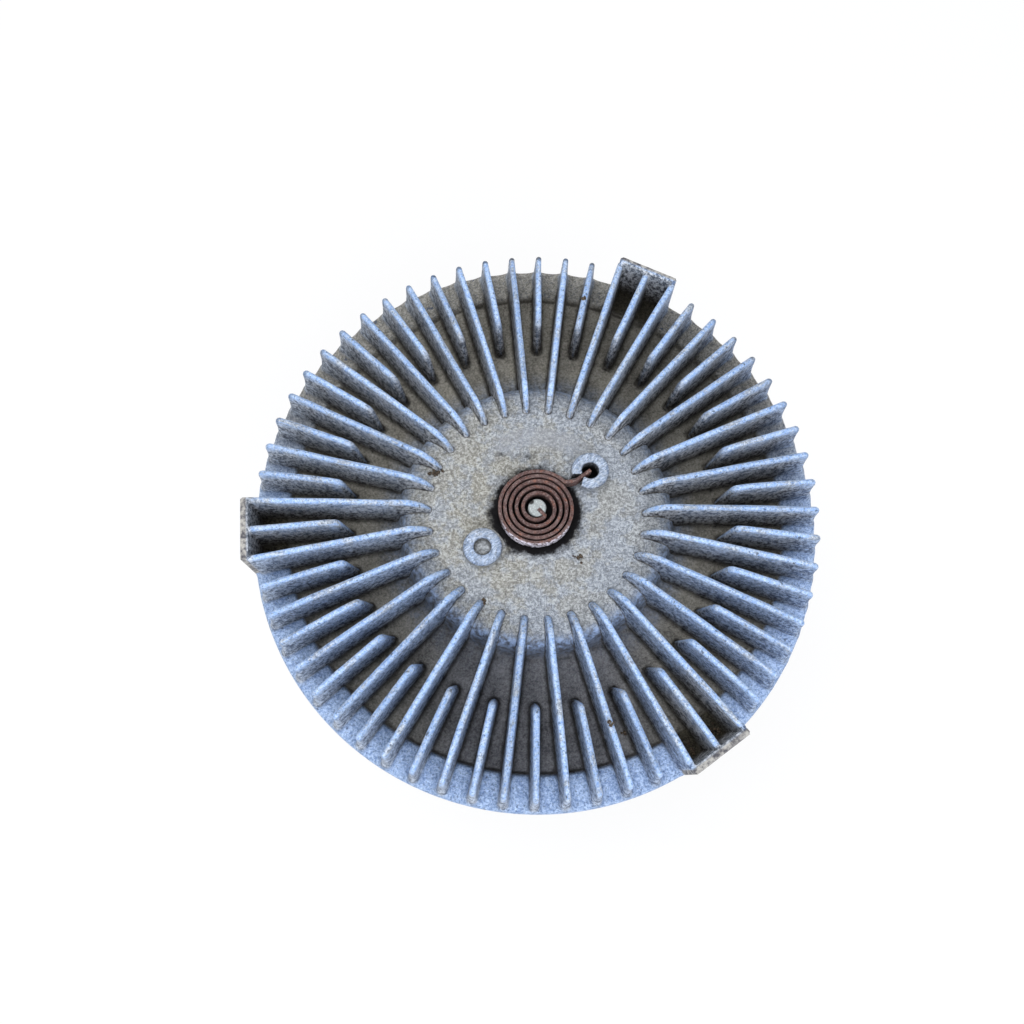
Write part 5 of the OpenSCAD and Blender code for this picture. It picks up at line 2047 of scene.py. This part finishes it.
@dataclass
class InputShaft(SubAssembly):
    """Turned steel shaft with the flange that bolts to the pump hub."""

    low: float
    high: float
    flange: float
    flange_thick: float = 8 * MM
    neck: float = 16.5 * MM
    neck_root: float = 5 * MM
    shoulder: float = 39 * MM
    bearing: float = 12.5 * MM
    bearing_end: float = 54 * MM
    spigot: float = 11 * MM
    bore: float = 7.95 * MM
    bore_depth: float = 14 * MM
    bolts: int = 4
    bolt_circle: float = 33.35 * MM
    bolt_turn: float = math.radians(45)
    hole: float = 4.35 * MM
    hole_edge: float = 0.5 * MM
    hole_steps: int = 48
    edge: float = 0.8 * MM
    count: int = 160

    @classmethod
    def from_frame(cls) -> "InputShaft":
        """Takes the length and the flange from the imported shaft."""
        low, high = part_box("input_shaft")
        return cls(low=low.z, high=high.z, flange=high.x)

    def build(self) -> Object:
        """Builds the shaft as one object.

        Returns:
            The new object.
        """
        shell = Shell()
        top = self.low + self.flange_thick
        edge = self.edge
        inset = self.flange - edge
        bore_edge = self.bore + edge
        bore_end = self.low + self.bore_depth
        root = self.neck + self.neck_root
        mouth = self.hole + self.hole_edge
        turns = [self.bolt_turn + FULL_TURN * number / self.bolts for number in range(self.bolts)]
        holes = [Loop(*(self.bolt_circle * heading(turn)), mouth, self.hole_steps) for turn in turns]
        outer = Loop(0, 0, inset, self.count)
        for height, inner in ((self.low, bore_edge), (top, root)):
            shell.add(*pierced(outer, [Loop(0, 0, inner, self.count), *holes], height, 3 * MM))
        fine = 0.4 * MM
        rim = [(inset, self.low), (self.flange, self.low, edge), (self.flange, top, edge), (inset, top)]
        stem = [
            (root, top),
            (self.neck, top, self.neck_root),
            (self.neck, self.shoulder, fine),
            (self.bearing, self.shoulder, fine),
            (self.bearing, self.bearing_end, fine),
            (self.spigot, self.bearing_end, fine),
            (self.spigot, self.high, 0.6 * MM),
            (0, self.high),
        ]
        bore = [
            (bore_edge, self.low),
            (self.bore, self.low + edge),
            (self.bore, bore_end, 0.3 * MM),
            (0, bore_end + self.bore / 2),
        ]
        for corners in (rim, stem, bore):
            shell.add(*turned(rounded(corners, closed=False), self.count))
        straight = (self.low + self.hole_edge, top - self.hole_edge)
        wall = [(mouth, self.low), (self.hole, straight[0]), (self.hole, straight[1]), (mouth, top)]
        for loop in holes:
            shell.add(*turned(np.array(wall), loop.count, (loop.x, loop.y)))
        return shell.build("input_shaft_turned", sharp=35.0)

    def dress(self, shelf: EffectShelf) -> None:
        """Builds and dresses the shaft, which is a body of its own."""
        steel = TurnedMetal("shaft_steel", "bbb8b2", "8f8b86", pitch=0.4, rust=0.34)
        self.hang(shelf, steel, "shaft", "shaft_steel", "input_shaft")


class Ground(Enum):
    """What a heap of crumbs lies on."""

    CENTRE = "raised centre"
    FLOOR = "floor between the fins"
    RIM = "rim band"
    CREST = "crest of a fin"


@dataclass(frozen=True)
class Heap:
    """Where a heap of crumbs lies, how many it has and how wide it is."""

    radius: float
    degrees: float
    ground: Ground
    crumbs: int
    spread: float


@dataclass
class RoadCrumbs(SubAssembly):
    """Crumbs of dirt caught between the fins."""

    cover: FinnedCover
    grain: float = 0.55 * MM
    rim_lift: float = 1 * MM
    crest_sink: float = 0.4 * MM
    heaps: Sequence[Heap] = (
        Heap(38.5 * MM, 159.5, Ground.CENTRE, 14, 2.4 * MM),
        Heap(92 * MM, 183.5, Ground.RIM, 10, 2.6 * MM),
        Heap(95.5 * MM, 303, Ground.RIM, 16, 3.0 * MM),
        Heap(95.5 * MM, 309.5, Ground.RIM, 16, 3.0 * MM),
        Heap(85 * MM, 203, Ground.FLOOR, 12, 3.0 * MM),
        Heap(21.5 * MM, 311, Ground.CENTRE, 7, 1.6 * MM),
        Heap(36.5 * MM, 241, Ground.CENTRE, 7, 1.2 * MM),
        Heap(80 * MM, 292.6, Ground.FLOOR, 6, 1.6 * MM),
        Heap(76.2 * MM, 288, Ground.CREST, 8, 0.9 * MM),
        Heap(81.1 * MM, 78, Ground.CREST, 8, 0.9 * MM),
    )

    def level(self, ground: Ground) -> float:
        """Gives the height of what a heap lies on.

        Args:
            ground: what it lies on.

        Returns:
            The height.
        """
        levels = {
            Ground.CENTRE: self.cover.plateau_top,
            Ground.FLOOR: self.cover.floor,
            Ground.RIM: self.cover.floor + self.rim_lift,
            Ground.CREST: self.cover.fin_top - self.crest_sink,
        }
        return levels[ground]

    def add_heap(self, shell: Shell, heap: Heap, seed: int) -> None:
        """Adds a small heap of crumbs.

        Args:
            shell: mesh that takes it.
            heap: where it lies and how big it is.
            seed: start of the random draws.
        """
        rng = np.random.default_rng(seed)
        middle = np.array([*(heap.radius * heading(math.radians(heap.degrees))), self.level(heap.ground)])
        for _ in range(heap.crumbs):
            size = self.grain * rng.uniform(0.5, 1.2)
            off = rng.normal(0, heap.spread / 2, 3) * np.array([1, 1, 0.35])
            off[2] = abs(off[2]) + size * 0.2
            ball = bmesh.new()
            bmesh.ops.create_icosphere(ball, subdivisions=2, radius=size)
            points = np.array([vertex.co[:] for vertex in ball.verts])
            faces = [[vertex.index for vertex in face.verts] for face in ball.faces]
            ball.free()
            points *= 1 + 0.35 * lumps(points + off, size * 0.9, seed)[:, None]
            shell.add(points + middle + off, faces)

    def build(self) -> Object:
        """Builds every heap as one object.

        Returns:
            The new object.
        """
        shell = Shell()
        for seed, heap in enumerate(self.heaps, 1):
            self.add_heap(shell, heap, seed)
        return shell.build("road_dirt_crumbs", sharp=80.0)

    def dress(self, shelf: EffectShelf) -> None:
        """Builds and dresses the crumbs, which ride on the housing."""
        dirt = TwoTone("road_dirt", "3d3228", "8c7d67", 0.95, "Speckle", depth=0.2 * MM, strength=0.9)
        self.hang(shelf, dirt, "housing", "cover_casting")


@dataclass(frozen=True)
class Lamp:
    """A square lamp: its name, its place, the length of its sides, its power in watts and its colour."""

    name: str
    place: Numbers
    size: float
    power: float
    colour: str


@dataclass
class Studio:
    """Pale floor, soft light and the camera at the photograph's angle."""

    place: Numbers = (-10.86 * MM, -84.4 * MM, 378.04 * MM)
    right: Numbers = (0.99985, 0.01288, 0.01121)
    up: Numbers = (-0.01548, 0.96062, 0.27745)
    back: Numbers = (-0.00719, -0.27759, 0.96068)
    lens: float = 30.23
    sensor: float = 36.0
    clip_start: float = 5 * MM
    aim: Numbers = (0.0, 0.0, 70 * MM)
    sky: str = "eef2fa"
    sky_strength: float = 0.55
    floor_size: float = 6.0
    floor_white: str = "fcfcfc"
    floor_glow: float = 0.86
    lamps: Sequence[Lamp] = (
        Lamp("key", (-0.35, 0.2, 1.15), 0.9, 7.0, "ffffff"),
        Lamp("fill", (0.2, -0.8, 0.9), 1.0, 9.0, "f4f7ff"),
    )

    def set_camera(self) -> None:
        """Makes the camera the scene's own."""
        data = bpy.data.cameras.new("view")
        data.lens = self.lens
        data.sensor_width = self.sensor
        data.clip_start = self.clip_start
        camera = bpy.data.objects.new("view", data)
        matrix = Matrix.Identity(4)
        for column, axis in enumerate((self.right, self.up, self.back, self.place)):
            for row in range(3):
                matrix[row][column] = axis[row]
        bpy.context.scene.collection.objects.link(camera)
        camera.matrix_world = matrix
        bpy.context.scene.camera = camera

    def add_lamp(self, lamp: Lamp) -> None:
        """Adds a lamp that points at the part.

        Args:
            lamp: the lamp's place, size, power and colour.
        """
        data = bpy.data.lights.new(lamp.name, "AREA")
        data.size = lamp.size
        data.energy = lamp.power
        data.color = tint(lamp.colour)[:3]
        made = bpy.data.objects.new(lamp.name, data)
        bpy.context.scene.collection.objects.link(made)
        made.location = lamp.place
        towards = Vector(self.aim) - Vector(lamp.place)
        made.rotation_euler = towards.to_track_quat("-Z", "Y").to_euler()

    def set_world(self) -> None:
        """Lights the scene evenly from all sides."""
        world = bpy.data.worlds.new("soft_room")
        world.use_nodes = True
        back = node_of(world.node_tree, "BACKGROUND")
        back.inputs["Color"].default_value = tint(self.sky)
        back.inputs["Strength"].default_value = self.sky_strength
        bpy.context.scene.world = world

    def add_floor(self) -> None:
        """Adds the white floor, which keeps a faint shadow."""
        mesh = bpy.data.meshes.new("floor")
        half = self.floor_size / 2
        corners = [(-half, -half, 0), (half, -half, 0), (half, half, 0), (-half, half, 0)]
        mesh.from_pydata(corners, [], [(0, 1, 2, 3)])
        floor = bpy.data.objects.new("floor", mesh)
        bpy.context.scene.collection.objects.link(floor)
        made = bpy.data.materials.new("white_floor")
        made.use_nodes = True
        wires = Wiring(made.node_tree)
        shader = node_of(made.node_tree, "BSDF_PRINCIPLED")
        shader.inputs["Base Color"].default_value = tint(self.floor_white)
        shader.inputs["Roughness"].default_value = 0.9
        glow = wires.node("Emission")
        glow.inputs["Strength"].default_value = 1.0
        path = wires.node("LightPath").outputs
        mirrored = wires.math("MAXIMUM", path["Is Glossy Ray"], path["Is Transmission Ray"])
        seen = wires.math("MAXIMUM", path["Is Camera Ray"], mirrored)
        share = wires.node("MixShader")
        wires.feed(share.inputs[0], wires.times(seen, self.floor_glow))
        wires.feed(share.inputs[1], shader.outputs[0])
        wires.feed(share.inputs[2], glow.outputs[0])
        wires.feed(node_of(made.node_tree, "OUTPUT_MATERIAL").inputs["Surface"], share.outputs[0])
        mesh.materials.append(made)

    def set_up(self) -> None:
        """Builds the whole studio."""
        bpy.context.scene.view_settings.view_transform = "Standard"
        self.set_camera()
        self.set_world()
        self.add_floor()
        for lamp in self.lamps:
            self.add_lamp(lamp)


class PackedPieces:
    """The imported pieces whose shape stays."""

    def dress(self, shelf: EffectShelf) -> None:
        """Gives each piece its finish.

        Args:
            shelf: the shared effects.
        """
        finishes: dict[Finish, Sequence[str]] = {
            TurnedMetal("turned_aluminium", "f3f3f3", "dcdee1", rust=0.0): ["rotor"],
            TurnedMetal("bearing_steel", "eaecf2", "c0c2c9", pitch=0.2, rust=0.05, shine=0.2): [
                "bearing_inner_ring", "bearing_outer_ring", "bearing_balls",
            ],
            TurnedMetal("spring_steel", "77797f", "515256", rust=0.2): ["bearing_retaining_ring"],
            TurnedMetal("plate_steel", "d5d8db", "aeb0b3", rust=0.1): [
                "valve_plate", "valve_plate_rivets", "valve_arm",
            ],
            PinSteel(): ["valve_shaft", "return_plug"],
            TwoTone("cage_polymer", "dbb365", "f3d786"): ["bearing_cage"],
            TwoTone("seal_rubber", "262626", "3c3b3a"): [
                "bearing_front_seal", "bearing_rear_seal", "valve_shaft_seal", "cover_seal",
            ],
            TwoTone("wiper_polymer", "34343a", "4e4e51"): ["pump_wiper"],
        }
        for finish, names in finishes.items():
            for name in names:
                finish.dress(shelf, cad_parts[name])
                log.info("%s dressed as %s", name, finish.name)


def main() -> None:
    """Builds the studio and every piece in order."""
    logging.basicConfig(level=logging.INFO, format="%(message)s")
    Studio().set_up()
    shelf = EffectShelf()
    PackedPieces().dress(shelf)
    cover = FinnedCover.from_frame()
    cover.dress(shelf)
    BimetalCoil.from_frame().dress(shelf)
    RearBody.from_frame().dress(shelf)
    InputShaft.from_frame().dress(shelf)
    RoadCrumbs(cover).dress(shelf)


if __name__ == "__main__":
    main()
